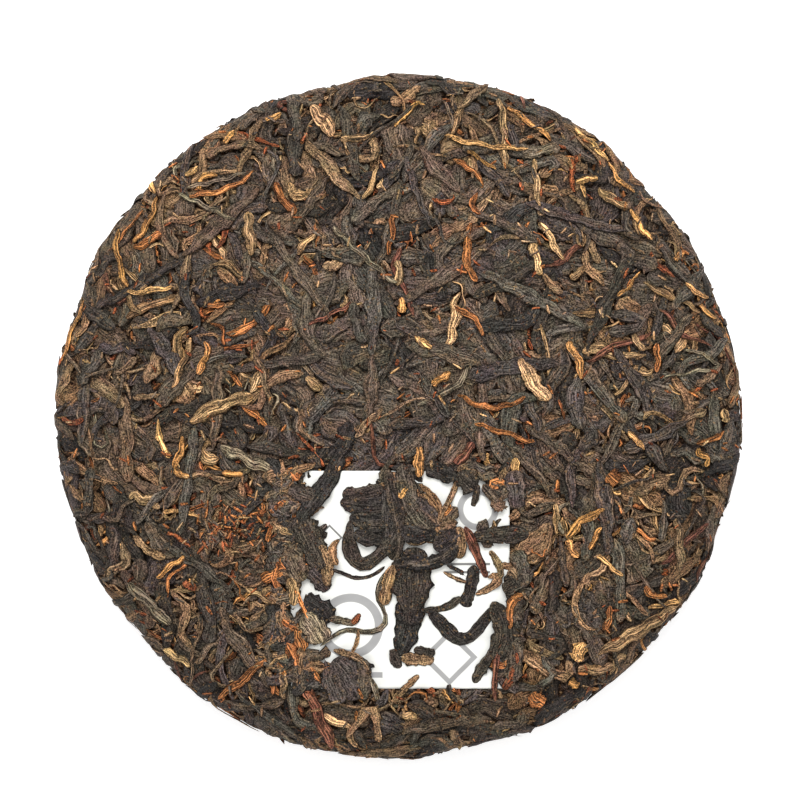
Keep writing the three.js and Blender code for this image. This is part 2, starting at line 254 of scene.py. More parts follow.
# Leaves that lie on the ticket and over its edges, the lowest first: colour, width, and x and y
# of the points along each
TICKET_LEAVES = (
    ("dark", 8.0, -18.6, -70.9, -14.1, -75.8, -11.4, -83),
    ("dark", 4.6, -10.5, -70.9, -9.4, -75.8, -10.5, -83),
    ("dark", 6.0, -20.4, -73.1, -18.6, -78.5, -16.4, -83.9),
    ("ink", 7.0, -27.2, -54.2, -23.1, -56, -19.5, -60.5),
    ("ink", 7.6, -27.6, -30.8, -24.5, -38, -21.5, -45.2),
    ("dark", 6.4, -31.7, -38, -30.3, -43.4, -27.2, -48.4),
    ("dark", 4.6, -25.4, -45.2, -22.7, -48.4, -20, -51.1),
    ("dark", 5.2, -31.5, -21.6, -27.5, -23.5, -23.6, -24.6),
    ("ink", 5.4, -16.6, -11.5, -18.6, -17, -21.6, -21.8, -25.2, -25.7, -28.6, -31),
    ("tan", 3.0, -31.2, -47.5, -29.4, -51.5, -30.3, -55.6),
    ("brown", 3.4, -22.4, -38, -20, -42.1, -20.6, -50.2),
    ("brown", 2.3, -17, -36.5, -20, -38.5, -17.5, -43.9),
    ("grey", 7.4, -27.2, -57.8, -24, -61.4, -21.8, -66.4),
    ("orange", 1.3, -30.3, -49.5, -28.1, -54.7, -25.6, -59.8),
    ("ink", 4.6, -4.2, -21.4, -9.6, -24.1, -16.2, -23.4),
    ("ink", 5.2, -1.5, -25.9, -7.8, -27.2, -16.8, -25.6),
    ("ink", 5.4, -1.1, -31.3, -7.4, -32.2, -14.1, -29.9),
    ("ink", 4.2, -3.3, -36.7, -8.7, -36.7, -12.8, -34.4),
    ("ink", 4.6, -3.3, -21.4, -2, -28.6, -3.3, -38),
    ("ink", 5.0, 0.3, -34, 5.2, -35.3, 11.1, -34.4),
    ("ink", 6.0, 10.2, -38.9, 14.7, -36.7, 18.3, -33.5),
    ("dark", 4.2, 5.2, -24.5, 8.8, -28.6, 12, -32.6),
    ("ink", 4.6, -3.1, -16, -2, -24.1, -0.6, -30.8, 0.5, -38, -2, -42.5),
    ("dark", 5.4, 1.2, -14.7, 2.5, -23.2, 5.7, -30.4, 9.7, -33.1),
    ("gold", 2.2, 3.2, -20.9, 1.8, -22.4, 0.5, -24.5),
    ("brown", 3.4, 12.4, -33.1, 14.7, -31.3, 16.5, -32.6),
    ("brown", 1.6, 6.1, -20.5, 9.7, -23.2, 12.5, -26.3, 12, -30.8),
    ("brown", 1.7, 17.1, -19.2, 15.6, -24.5, 12.4, -28.4, 11.3, -32.2),
    ("ink", 5.0, 8.4, -15.1, 12.4, -17.1, 16.9, -18.7),
    ("ink", 6.0, 17.4, -16.9, 20.1, -20.1, 22.3, -21.9),
    ("ink", 1.9, 23, -20.5, 22.7, -23.7, 21.6, -27),
    ("dark", 2.8, 24.5, -20.5, 27.2, -24.1, 30.8, -27.7),
    ("brown", 4.2, 27, -25.2, 28.8, -26.3, 30.8, -27),
    ("dark", 5.4, 34.4, -27.7, 34.4, -21.9, 33.1, -16.5),
    ("dark", 5.0, 34, -39.8, 35.8, -44.3, 37.1, -49.7),
    ("ink", 4.8, 21.4, -35.3, 29, -35.3, 38, -34.9),
    ("brown", 3.4, 17.4, -32.6, 18.7, -37.6, 17.4, -42.1),
    ("ink", 4.2, -13.9, -30.8, -14.2, -38, -13.2, -42.1, -10.5, -44.9, -7.4, -43, -3.8, -39.8,
     0.3, -32.2, 1.4, -27.7),
    ("ink", 1.1, -20.4, -44.7, -16.4, -45.9, -13.2, -47.8, -9.6, -47.9, -6, -46.4, -3.8, -44.3),
    ("ink", 6.6, 3.6, -52, 3.4, -58.5, 2.4, -64.5, 0.2, -70.3),
    ("ink", 7.8, 3.9, -47, 3.8, -54, 3.3, -61.5),
    ("ink", 10.4, 5.2, -38.6, 4.2, -45, 3.7, -52, 3.6, -58.6),
    ("ink", 4.4, -2, -43.9, 2.5, -42.1, 8.4, -43.9, 14.2, -41.6, 17.4, -38),
    ("red", 2.7, 19.2, -32.6, 22.8, -40.3, 25.7, -47.7),
    ("ink", 1.2, 14, -43.8, 17.4, -45.3, 20.7, -47.7),
    ("brown", 1.2, 13.1, -45.9, 16.5, -47.9, 20.3, -49.1),
    ("ink", 3.6, 22.1, -43.9, 21.6, -49.7, 19.2, -56.2),
    ("ink", 2.3, 6.6, -57, 12, -57.1, 15.6, -55.6, 18.3, -53.1),
    ("ink", 3.9, 8.8, -57.1, 13.3, -61.4, 16.9, -66.4, 20.5, -66.4, 24.1, -61.4, 28.1, -56),
    ("ink", 3.0, 29, -67.5, 25.3, -71.8, 22.2, -78.9),
    ("ink", 6.2, 27.3, -54.6, 30.8, -60.3, 30.6, -66.5, 27.8, -71),
    ("red", 1.7, 29.7, -66.8, 28.2, -72.2, 27.9, -79.4, 28.4, -84.3),
    ("ink", 3.0, -1.3, -68.2, -1, -71.8, 0.9, -73.6),
    ("brown", 3.5, 0.9, -70.6, 5.7, -71.8, 10.6, -71.4),
    ("ink", 2.4, 4.5, -68.5, 7.9, -68.8, 10.8, -69.9),
    ("grey", 1.5, -22.6, -67.4, -18.6, -64.1, -15, -62.3, -9.6, -63.7, -5.1, -63.2, -2.8, -60.5,
     -3.8, -56.9, -6, -54.2, -6.4, -51.1, -4.2, -47, -1.5, -44.1),
    ("tan", 3.6, -1.4, -43.8, -3.2, -49.2, -4.0, -55.6),
    ("dark", 2.2, -20, -59.3, -15.9, -60.1, -12.3, -61.1),
    ("rust", 1.8, -13.2, -61, -11.9, -59.4, -11, -58),
    ("brown", 1.2, -11.5, -62.5, -11.6, -66.4, -13.4, -69.3),
    ("brown", 1.9, -18.8, -68.6, -15, -69.1, -10.5, -70.9, -8.5, -74.9),
    ("grey", 1.7, -8.1, -76.2, -6.5, -79, -5.9, -83),
    ("brown", 2.0, -1.8, -83.7, 2.1, -79.4, 6.1, -76),
    ("brown", 3.4, 32, -45, 33.3, -46.1, 34, -47.7),
    ("ink", 4.6, 30.6, -51.8, 34.4, -48.8, 38.9, -45.2),
    ("orange", 2.4, 37.1, -52.4, 33.1, -52.9, 32, -56, 32.4, -62.3),
    ("brown", 2.3, 25.9, -47.6, 29.6, -46.4, 29.3, -48.8, 25.9, -51.1, 22.4, -52.5),
    ("brown", 2.0, 26.6, -39.8, 29.3, -43.4, 30, -47.5),
    ("dark", 5.0, 33.5, -65.9, 34.4, -71.3, 32.6, -77.6),
    ("rust", 2.6, 30.8, -80.3, 33.5, -74.9, 34.4, -69.1),
)

# Parts of the ticket that small leaves crowd over: lowest and highest x, then y
CROWDED = (
    (-37, -25.5, -29, -15.3), (-37, -22.5, -43.5, -30.7), (-37, -30.5, -53.2, -44.8),
    (-37, -23.5, -65.5, -55), (-37, -21.5, -78.4, -68.5), (-18.5, -10.5, -78.4, -70.5),
    (-4.0, 4.4, -26.5, -15.3), (17.5, 32.1, -18.5, -14.8), (27, 32.1, -23.5, -19),
    (24, 32.1, -36.2, -33), (31.2, 34, -71.8, -43.8), (28.5, 32, -78.4, -70.5),
    (-3, 15, -36, -27),
)
CROWD_AREA = 4.5
CROWD_LENGTHS = (4.5, 11)
CROWD_WIDTHS = (1.4, 4.2)
CROWD_COLOURS = ("dark", "dark", "dark", "ink", "ink", "brown", "brown", "orange")

# Leaves that the solid has too: count, length, width, first draw, inner and outer reach
FACE_ZONE = (44, (17, 34), (2.8, 5.2), 1, 6, 84)
RIM_ZONE = (26, (14, 26), (2.6, 4.4), 201, 90, 106)
HOLLOW_ZONE = (9, (10, 16), (2.4, 4.0), 401, 4, 22)
LOWER_ZONE = (10, (14, 24), (2.6, 4.0), 601, 97, 104)
ZONE_BOW = 0.16
ZONE_COLOURS = ("dark", "dark", "dark", "ink", "brown")

# Drawn leaves in three sizes: colour, share, and the ranges of length and width
LARGE_KINDS = (
    ("dark", 0.34, (12, 28), (2.2, 5.2)),
    ("ink", 0.09, (12, 26), (2.0, 5.0)),
    ("brown", 0.19, (10, 26), (1.6, 4.2)),
    ("dark", 0.06, (14, 30), (0.8, 1.4)),
    ("brown", 0.08, (12, 28), (0.7, 1.3)),
    ("tan", 0.085, (8, 20), (1.3, 3.4)),
    ("gold", 0.04, (7, 16), (1.0, 2.2)),
    ("orange", 0.045, (7, 17), (0.9, 2.2)),
    ("rust", 0.02, (8, 16), (1.0, 2.4)),
    ("tan", 0.06, (5, 14), (0.4, 0.8)),
    ("orange", 0.03, (5, 12), (0.4, 0.8)),
    ("red", 0.015, (12, 26), (1.0, 2.0)),
    ("grey", 0.02, (12, 26), (0.8, 1.8)),
)
PATCH_KINDS = (
    ("dark", 0.58, (13, 24), (5.5, 11)),
    ("ink", 0.18, (12, 20), (5, 10)),
    ("brown", 0.24, (11, 20), (4.5, 9)),
)
MEDIUM_KINDS = (
    ("dark", 0.42, (6, 16), (1.2, 3.2)),
    ("ink", 0.10, (6, 14), (1.1, 3.0)),
    ("brown", 0.20, (5, 14), (1.0, 2.7)),
    ("brown", 0.10, (6, 15), (0.5, 1.0)),
    ("tan", 0.075, (4, 12), (0.8, 2.4)),
    ("gold", 0.025, (4, 10), (0.8, 1.9)),
    ("orange", 0.04, (4, 11), (0.8, 2.0)),
    ("rust", 0.03, (4, 10), (0.8, 2.0)),
    ("grey", 0.02, (7, 16), (0.5, 1.0)),
)
SMALL_KINDS = (
    ("dark", 0.46, (3.5, 10), (0.8, 2.0)),
    ("ink", 0.10, (3, 9), (0.8, 2.0)),
    ("brown", 0.24, (3, 9), (0.7, 1.8)),
    ("tan", 0.06, (2.5, 7), (0.6, 1.4)),
    ("gold", 0.03, (2.5, 6), (0.6, 1.5)),
    ("orange", 0.05, (2.5, 6), (0.6, 1.6)),
    ("rust", 0.04, (2.5, 6), (0.6, 1.6)),
)

# How many drawn leaves, and the rounds that fill what is still open after them: rounds, leaves
# in each, kinds, mesh size, and the least share of a leaf that has to show
FACE_COUNT = 900
QUIET_COUNT = 150
PATCH_COUNT = 380
PATCH_REACH = 104
BACK_COUNT = 520
FACE_FILLS = ((6, 420, MEDIUM_KINDS, "medium", 0.18), (8, 600, SMALL_KINDS, "small", 0.15))
BACK_FILLS = ((4, 260, MEDIUM_KINDS, "short", 0.25), (3, 260, SMALL_KINDS, "small", 0.3))

# The reach past which most leaves lie along the rim, which the back's leaves don't get to, and
# how far drawn leaves keep off the ticket
ALONG_RIM_FROM = {"face": 88, "back": 200}
TICKET_MARGIN = 3.0

# Crumbs, their half widths at three places for each millimetre of width, and a patch of rusty
# ones: its middle, and how far they spread in x and y
CRUMB_COLOURS = ("dark", "dark", "dark", "brown", "brown", "brown", "tan", "orange", "rust")
CRUMB_COUNT = 1500
CRUMB_REACH = 100
CRUMB_LENGTHS = (0.8, 3.6)
CRUMB_SLENDERNESS = (0.18, 0.5)
WIDEST_CRUMB = 1.1
CRUMB_OUTLINE = (0.3, 0.5, 0.28)
RUST_COLOURS = ("rust", "orange", "brown")
RUST_PATCH = (-47.0, -32.0, 13.0, 8.5)
RUST_COUNT = 150

# How much a leaf's heading bends, swings and kinks, in radians, and how far a kink spreads
BEND = 0.75
SWING = 0.42
KINK = 0.65
KINK_SPREAD = 1.3

# The ridges and grooves of a leaf: count, twist, size of the coarse and the fine ones, roughness,
# and how ragged the edge is
GROOVE_WAVES = (3.0, 5.5)
GROOVE_TWIST = 3.5
COARSE_GROOVES = (0.1, 0.32)
FINE_GROOVES = (0.05, 0.16)
LEAF_ROUGHNESS = 0.07
RAGGED_EDGE = 0.34

# The height under which leaves are eased up from the floor
EASED_UNDER = 0.3

# How calm a leaf is pressed, from 0 to 1: on the back, at least on the face, and how much more in
# its smooth part
BACK_CALM = 0.4
LEAST_CALM = 0.42
MORE_CALM = 0.58

# How much darker leaves are: on the back; and, as painted shade, on the face at the rim, towards
# its lower edge, deep in the pile there, and outermost
BACK_GLOOM = 0.05
RIM_PAINTED_SHADE = 0.06
LOWER_PAINTED_SHADE = 0.19
DEEP_PAINTED_SHADE = 0.4
OUTER_PAINTED_SHADE = 0.1

# Spread of tone of dull and of light leaves, spread of hue, and the share of grey at full calm
DULL_SPREAD = 0.1
LIGHT_SPREAD = 0.14
HUE_SPREAD = 0.02
GREYED = 0.1

# The most of a leaf's second tone, the share of leaves with a pale tip, and how pale it is
SECOND_TONE = 0.45
PALE_TIPS = 0.3
TIP_TONE = 0.5

# Rings and sides of a leaf's mesh, and the points that its path is laid with
SIZES = {
    "large": (14, 10, 60), "medium": (9, 8, 32), "small": (6, 6, 18), "crumb": (3, 5, 3),
    "broad": (11, 8, 60), "short": (7, 7, 32), "long": (24, 10, 60),
}

# The mesh that each colour of leaf goes into
PIECE_OF = {
    "ink": "ink_leaves", "dark": "dark_leaves", "brown": "brown_leaves", "rust": "brown_leaves",
    "tan": "pale_leaves", "gold": "buds", "orange": "buds", "red": "stems", "grey": "stems",
}
STRIPED = ("pale_leaves", "buds", "stems")
SPLIT_ABOVE = 180000
BATCH = 250

# A leaf's girth for each millimetre of its width, how far leaves are spread over the map in
# millimetres, and the margin in a leaf's cell of the map to bake with
GIRTH_OF_WIDTH = 2.6
MAP_SPREAD = 400
CELL_MARGIN = 0.06


def bezier(start, first, second, end, steps=CURVE_STEPS):
    """Points of a cubic curve: (1-t)^3 a + 3 (1-t)^2 t b + 3 (1-t) t^2 c + t^3 d."""
    t = np.linspace(0, 1, steps)[:, None]
    corners = [np.array(point, float) for point in (start, first, second, end)]
    weights = [(1 - t) ** 3, 3 * (1 - t) ** 2 * t, 3 * (1 - t) * t**2, t**3]
    return sum(weight * corner for weight, corner in zip(weights, corners))


def body_section():
    """Radius and height of the body's outline, from the middle of the face to that of the back."""
    slope = -2 * DOME_DROP * SHOULDER_START / CAKE_RADIUS**2
    radius = np.linspace(0, SHOULDER_START, CURVE_STEPS)
    dome = np.stack([radius, CENTRE_HEIGHT - DOME_DROP * (radius / CAKE_RADIUS) ** 2], axis=1)
    edge = dome[-1]
    shoulder = bezier(
        edge, edge + [SHOULDER_PULL, SHOULDER_PULL * slope],
        (CAKE_RADIUS, BAND_TOP + BAND_PULL_UP), (CAKE_RADIUS, BAND_TOP),
    )
    foot = bezier(
        (CAKE_RADIUS, BAND_BOTTOM), (CAKE_RADIUS, BAND_BOTTOM - BAND_PULL_DOWN),
        (REST_OUTER + REST_PULL, 0), (REST_OUTER, 0),
    )
    hollow = bezier(
        (REST_INNER, 0), (REST_INNER - HOLLOW_PULL, 0),
        (HOLLOW_FLAT + HOLLOW_WALL_PULL, HOLLOW_DEPTH), (HOLLOW_FLAT, HOLLOW_DEPTH),
    )
    return np.concatenate([dome, shoulder[1:], foot, hollow, [[0, HOLLOW_DEPTH]]])


def smoothstep(value, low, high):
    """0 below low, 1 above high, and s^2 (3 - 2s) between."""
    share = np.clip((value - low) / (high - low), 0, 1)
    return share * share * (3 - 2 * share)


def reach_of(points):
    """How far points (..., 2) are from the middle."""
    return np.hypot(points[..., 0], points[..., 1])


def polar(reach, angle):
    """Points (..., 2) at a reach and an angle."""
    return np.stack([reach * np.cos(angle), reach * np.sin(angle)], axis=-1)


def sideways(path):
    """Unit vectors that point to the left of a path (step, 2)."""
    ahead = np.gradient(path, axis=0)
    ahead /= np.maximum(reach_of(ahead), 1e-6)[:, None]
    return np.stack([-ahead[:, 1], ahead[:, 0]], axis=1)


class Chart:
    """One side of the cake unrolled to a flat disc.

    A chart point is at an angle and a reach. The reach is the arc length from the section's
    start; the body is there at (radius, height) with the way out (out_r, out_z).
    """

    def __init__(self, on_back):
        section = body_section()
        along = np.gradient(section, axis=0)
        along /= reach_of(along)[:, None]
        steps = np.hypot(*np.diff(section, axis=0).T)
        arc = np.concatenate([[0], np.cumsum(steps)])
        order = slice(None, None, -1) if on_back else slice(None)
        self.arc = (arc[-1] - arc)[order] if on_back else arc
        self.radius = section[order, 0]
        self.height = section[order, 1]
        self.out_r = -along[order, 1]
        self.out_z = along[order, 0]
        self.hand = -1 if on_back else 1

    def place(self, flat, lift):
        """Points in space over chart points (..., 2), raised by lift along the way out."""
        reach = reach_of(flat)
        angle = np.arctan2(flat[..., 1], flat[..., 0])
        radius = np.interp(reach, self.arc, self.radius)
        height = np.interp(reach, self.arc, self.height)
        swell = sum(size * np.sin(count * angle + phase) for count, size, phase in OUTLINE_WAVES)
        swell *= smoothstep(radius, OUTLINE_FROM_RADIUS * CAKE_RADIUS, CAKE_RADIUS)
        swell *= smoothstep(height, 0, OUTLINE_FROM_HEIGHT * CENTRE_HEIGHT)
        x = (radius + swell) * np.cos(angle)
        y = (radius + swell) * np.sin(angle)
        across = np.sin(2 * np.pi * x / FACE_WAVE_LENGTH + FACE_WAVE_PHASE)
        slanted = y + FACE_WAVE_SLANT * x
        along = np.sin(2 * np.pi * slanted / (FACE_WAVE_STRETCH * FACE_WAVE_LENGTH))
        raised = smoothstep(height, *(share * CENTRE_HEIGHT for share in FACE_WAVE_STARTS))
        z = height + FACE_WAVE * across * along * raised
        out_r = np.interp(reach, self.arc, self.out_r) * lift
        out_z = np.interp(reach, self.arc, self.out_z) * lift
        return np.stack([x + out_r * np.cos(angle), y + out_r * np.sin(angle), z + out_z], axis=-1)


def core_level(reach):
    """The core's level at a reach, measured from the body's surface."""
    in_middle = 1 - smoothstep(reach, *MIDDLE_ENDS)
    at_rim = smoothstep(reach, *RIM_STARTS) * (1 - smoothstep(reach, *RIM_ENDS))
    return -CORE_DEPTH + RISE_IN_MIDDLE * in_middle + RISE_AT_RIM * at_rim


def rolling(x, y, length, seed, count=8):
    """A smooth random surface from about -1 to 1: a sum of sines of about one wave length."""
    rng = np.random.default_rng(seed)
    total = 0
    for angle, phase, stretch in rng.random((count, 3)):
        turn = 2 * np.pi * angle
        wave = length * (0.7 + 0.8 * stretch)
        along = x * math.cos(turn) + y * math.sin(turn)
        total = total + np.sin(2 * np.pi * (along / wave + phase))
    return total / (1.2 * math.sqrt(count))


def blur(values, sigma):
    """Values smoothed along their first axis by a Gaussian of sigma steps, the ends kept."""
    reach = max(1, int(2.5 * sigma))
    reach = min(reach, len(values) - 1)
    taps = np.exp(-0.5 * (np.arange(-reach, reach + 1) / sigma) ** 2)
    taps /= taps.sum()
    pads = [(reach, reach)] + [(0, 0)] * (values.ndim - 1)
    padded = np.pad(values, pads, mode="reflect", reflect_type="odd")
    windows = np.lib.stride_tricks.sliding_window_view(padded, 2 * reach + 1, axis=0)
    return windows @ taps


def lowest_near(values, reach):
    """The lowest value within reach steps of each one."""
    if reach < 1:
        return values
    padded = np.pad(values, reach, mode="edge")
    return np.lib.stride_tricks.sliding_window_view(padded, 2 * reach + 1).min(axis=1)


def eased(levels, path, stiff):
    """Levels along a path, smoothed over a length of stiff and drawn to the lowest near by."""
    step = np.hypot(*(path[1] - path[0]))
    sigma = max(stiff / step, 0.6)
    return blur(lowest_near(levels, int(0.7 * sigma)), sigma)


def inside_ticket(x, y, margin=0.0):
    """Whether chart points are over the ticket, drawn in by a margin."""
    wide = np.abs(x - TICKET_MIDDLE[0]) < TICKET_SIZE[0] / 2 - margin
    high = np.abs(y - TICKET_MIDDLE[1]) < TICKET_SIZE[1] / 2 - margin
    return wide & high


def in_quiet(places):
    """Whether chart points (..., 2) are in the smooth part of the face."""
    return reach_of(places - np.array(QUIET_MIDDLE)) < QUIET_REACH


class Pile:
    """What is laid on one side's chart: the leaves by colour and mesh size, and per cell the
    underside of the lowest leaf so far, the height of the first one that shows there, and
    whether any leaf covers it."""

    def __init__(self, side, reach, roof):
        self.side = side
        self.leaves = {}
        self.limit = reach
        self.reach = reach + CHART_MARGIN
        count = int(2 * self.reach / CELL)
        line = (np.arange(count) + 0.5) * CELL - self.reach
        self.x, self.y = np.meshgrid(line, line, indexing="ij")
        self.low = roof(self.x, self.y)
        self.high = np.full(self.low.shape, -CORE_DEPTH)
        self.covered = np.zeros(self.low.shape, bool)

    def keep(self, colour, size, path, half, thick, top):
        """Keeps a leaf: its path, and its half width, thickness and top along it."""
        self.leaves.setdefault((colour, size), []).append((path, half, thick, top))

    def cells(self, points):
        """Row and column of the cells that points (..., 2) are in."""
        index = ((points + self.reach) / CELL).astype(int)
        index = np.clip(index, 0, len(self.low) - 1)
        return index[..., 0], index[..., 1]

    def footprint(self, path, half):
        """Row and column of the cells under a leaf, (along, across), and how far across each is."""
        spread = np.linspace(-0.95, 0.95, max(3, int(2 * half.max() / CELL) + 2))
        offset = (half[:, None] * spread)[:, :, None]
        row, col = self.cells(path[:, None] + sideways(path)[:, None] * offset)
        return row, col, spread

    def press(self, row, col, spread, top, thick):
        """Marks the cells under a leaf as taken; returns the level of its upper side there."""
        bulge = np.sqrt(1 - spread**2)
        under = top[:, None] - thick[:, None] * (0.5 + 0.5 * bulge)
        upper = top[:, None] - thick[:, None] * (0.5 - 0.5 * bulge)
        fresh = ~self.covered[row, col]
        self.high[row[fresh], col[fresh]] = upper[fresh]
        self.low[row, col] = np.minimum(self.low[row, col], under)
        self.covered[row, col] = True
        return upper

    def tuck(self, path, half, thick, stiff, least):
        """Lays a leaf below what is there; returns its top along the path, or nothing when
        too little of it would show."""
        row, col, spread = self.footprint(path, half)
        if (~self.covered[row, col]).mean() < least:
            return None
        roof = self.low[row, col].min(axis=1)
        top = np.minimum(eased(roof, path, stiff), roof + 0.3 * thick)
        top = np.maximum(top, core_level(reach_of(path)) + LEAST_COVER)
        self.press(row, col, spread, top, thick)
        return top

    def rest(self, bed, path, half, thick, stiff, limit):
        """Lays a leaf on top of a bed of heights, and raises the bed by it; returns its top
        along the path."""
        row, col, spread = self.footprint(path, half)
        floor = -eased(-bed[row, col].max(axis=1), path, stiff)
        top = np.minimum(floor + 0.92 * thick, limit)
        upper = self.press(row, col, spread, top, thick)
        bed[row, col] = np.maximum(bed[row, col], upper)
        self.high[row, col] = np.maximum(self.high[row, col], upper)
        return top

    def openings(self, rng, count):
        """Places drawn from the cells that nothing covers yet."""
        row, col = np.nonzero(~self.covered & (np.hypot(self.x, self.y) < self.limit))
        pick = rng.integers(0, len(row), count)
        places = np.stack([self.x[row[pick], col[pick]], self.y[row[pick], col[pick]]], axis=1)
        return places + rng.uniform(-CELL, CELL, places.shape)


def thickness_of(width):
    """How thick a pressed leaf of a width is: w * 0.44 / (1 + 0.28 w), 0.85 at most."""
    return np.minimum(0.44 * width / (1 + 0.28 * width), 0.85)


def winding_paths(rng, places, headings, lengths, widths, steps):
    """Centre lines (leaf, step, 2): the heading turns, swings and kinks on the way, less so for
    broad leaves."""
    count = len(lengths)
    share = np.linspace(-0.5, 0.5, steps)
    column = (count, 1)
    supple = 1.25 / (1 + 0.17 * widths[:, None])
    bend = supple * rng.normal(0, BEND, column)
    swing = supple * rng.normal(0, SWING, column)
    beat = rng.uniform(0.7, 2.4, column)
    kink = supple * rng.normal(0, KINK, column)
    kink_at = rng.uniform(-0.4, 0.4, column)
    heading = headings[:, None] + bend * share
    heading = heading + swing * np.sin(2 * np.pi * (beat * share + rng.random(column)))
    heading = heading + kink * np.tanh((share - kink_at) * lengths[:, None] / KINK_SPREAD)
    step = lengths[:, None] / (steps - 1)
    path = np.cumsum(polar(step, heading), axis=1)
    return path - path.mean(axis=1, keepdims=True) + places[:, None]


def half_widths(rng, widths, blunt, steps, uneven=1.0):
    """Half the width along each leaf: 0.5 w (1 - |v|^p)^0.5, v skewed, with uneven edges."""
    count = len(widths)
    share = np.linspace(-1, 1, steps)
    column = (count, 1)
    skewed = share + uneven * rng.uniform(-0.42, 0.42, column) * (1 - share**2)
    power = blunt * (1 + uneven * rng.uniform(-0.3, 0.8, column))
    taper = np.sqrt(np.maximum(1 - np.abs(skewed) ** power, 0.0))
    ripple = 0.2 * np.sin(share * rng.uniform(3, 7, column) + rng.uniform(0, 6, column))
    ripple += 0.14 * np.sin(share * rng.uniform(9, 16, column) + rng.uniform(0, 6, column))
    return 0.5 * widths[:, None] * taper * (1 + uneven * ripple) + 0.02


def wiggle(rng, path):
    """A path that swings to both sides as it goes, by less than a millimetre."""
    length = np.hypot(*np.diff(path, axis=0).T).sum()
    along = np.linspace(0, length, len(path))
    swing = 0.32 * np.sin(along * 2 * np.pi / rng.uniform(6, 10) + rng.uniform(0, 6))
    swing += 0.1 * np.sin(along * 2 * np.pi / rng.uniform(2.8, 4.2) + rng.uniform(0, 6))
    return path + sideways(path) * swing[:, None] * min(1.0, length / 10)


def hand_line(numbers, steps):
    """A smooth line of even steps near given points, starting and ending on them."""
    points = NEARER * np.array(numbers).reshape(-1, 2)
    along = np.concatenate([[0], np.cumsum(np.hypot(*np.diff(points, axis=0).T))])
    fine = np.linspace(0, along[-1], steps)
    line = np.stack([np.interp(fine, along, points[:, axis]) for axis in (0, 1)], axis=1)
    return blur(line, 0.5 * steps / (len(points) - 1))


def draw(number, column):
    """The fixed draw between 0 and 1 that the solid uses for its leaves."""
    value = math.sin(number * 12.9898 + column * 78.233) * 43758.5453
    return value - math.floor(value)


def zone_paths(zone, hand):
    """Centre lines and widths of the solid's own leaves in one zone."""
    count, lengths, widths, first, inner, outer = zone
    share = np.linspace(-0.5, 0.5, SIZES["large"][2])
    for index in range(count):
        number = first + index
        reach = math.sqrt(inner**2 + (outer**2 - inner**2) * (index + 0.5) / count)
        angle = number * GOLDEN_TURN
        heading = 2 * math.pi * draw(number, 1)
        length = lengths[0] + (lengths[1] - lengths[0]) * draw(number, 2)
        width = widths[0] + (widths[1] - widths[0]) * draw(number, 3)
        bow = ZONE_BOW * length * (draw(number, 4) - 0.5) * (0.5 - 2 * share**2)
        ahead = np.array([math.cos(heading), math.sin(heading)])
        aside = np.array([-ahead[1], ahead[0]]) * hand
        middle = np.array([reach * math.cos(angle), reach * math.sin(angle)])
        yield middle + np.outer(share * length, ahead) + np.outer(bow, aside), width


def lay_zone(rng, pile, zone):
    """Lays the solid's own leaves of one zone, dark ones only within the quiet reach."""
    for path, width in zone_paths(zone, 1 if pile.side == "face" else -1):
        if pile.side == "face" and inside_ticket(path[:, 0], path[:, 1], 1.0).any():
            continue
        path = wiggle(rng, path)
        half = half_widths(rng, np.array([width]), blunt=2.6, steps=len(path))[0]
        thick = thickness_of(2 * half)
        top = pile.tuck(path, half, thick, stiff=2.2, least=0.3)
        if top is not None:
            choices = ZONE_COLOURS.count("dark") if in_quiet(path.mean(axis=0)) else len(ZONE_COLOURS)
            colour = ZONE_COLOURS[rng.integers(choices)]
            pile.keep(colour, "large", path, half, thick, top)


def lay_marked(rng, pile):
    """Lays the leaves that stand out on the face, topmost of all."""
    steps = SIZES["large"][2]
    for colour, *numbers, width in MARKED_LEAVES:
        path = wiggle(rng, hand_line(numbers, steps))
        blunt = 6.0 if colour in ("red", "grey") else 4.0
        half = half_widths(rng, np.array([width]), blunt, steps, uneven=0.7)[0]
        thick = thickness_of(2 * half)
        top = pile.tuck(path, half, thick, stiff=1.6, least=0.0)
        if top is not None:
            pile.keep(colour, "long", path, half, thick, top)


def lay_on_ticket(rng, pile):
    """Lays the leaves that cross the ticket: flat on the paper, each over the ones before."""
    steps = SIZES["large"][2]
    bed = np.where(inside_ticket(pile.x, pile.y), PAPER_LEVEL, -0.55)
    lay_crowd(rng, pile, bed)
    for colour, width, *numbers in TICKET_LEAVES:
        path = hand_line(numbers, steps)
        blunt = 2.6 if width > 9 else 3.4
        half = half_widths(rng, np.array([width]), blunt, steps, uneven=0.52)[0]
        thick = thickness_of(2 * half) * 0.62
        top = pile.rest(bed, path, half, thick, stiff=1.5, limit=1.0)
        pile.keep(colour, "long", path, half, thick, top)


def lay_crowd(rng, pile, bed):
    """Lays small leaves over the parts of the ticket that hardly show."""
    steps = SIZES["medium"][2]
    for left, right, low, high in CROWDED:
        count = int((right - left) * (high - low) / CROWD_AREA)
        places = rng.uniform((left, low), (right, high), (count, 2))
        headings = rng.uniform(0, 2 * np.pi, count)
        lengths = rng.uniform(*CROWD_LENGTHS, count)
        widths = rng.uniform(*CROWD_WIDTHS, count)
        paths = winding_paths(rng, places, headings, lengths, widths, steps)
        halves = half_widths(rng, widths, blunt=2.6, steps=steps)
        for path, half in zip(paths, halves):
            thick = thickness_of(2 * half) * 0.7
            top = pile.rest(bed, path, half, thick, stiff=1.0, limit=0.7)
            colour = CROWD_COLOURS[rng.integers(len(CROWD_COLOURS))]
            pile.keep(colour, "medium", path, half, thick, top)


def lay_ticket(pile):
    """Takes up the ticket's own place in the pile."""
    inside = inside_ticket(pile.x, pile.y)
    pile.low[inside] = np.minimum(pile.low[inside], PAPER_LEVEL - 0.2)
    pile.high[inside & ~pile.covered] = PAPER_LEVEL
    pile.covered[inside] = True


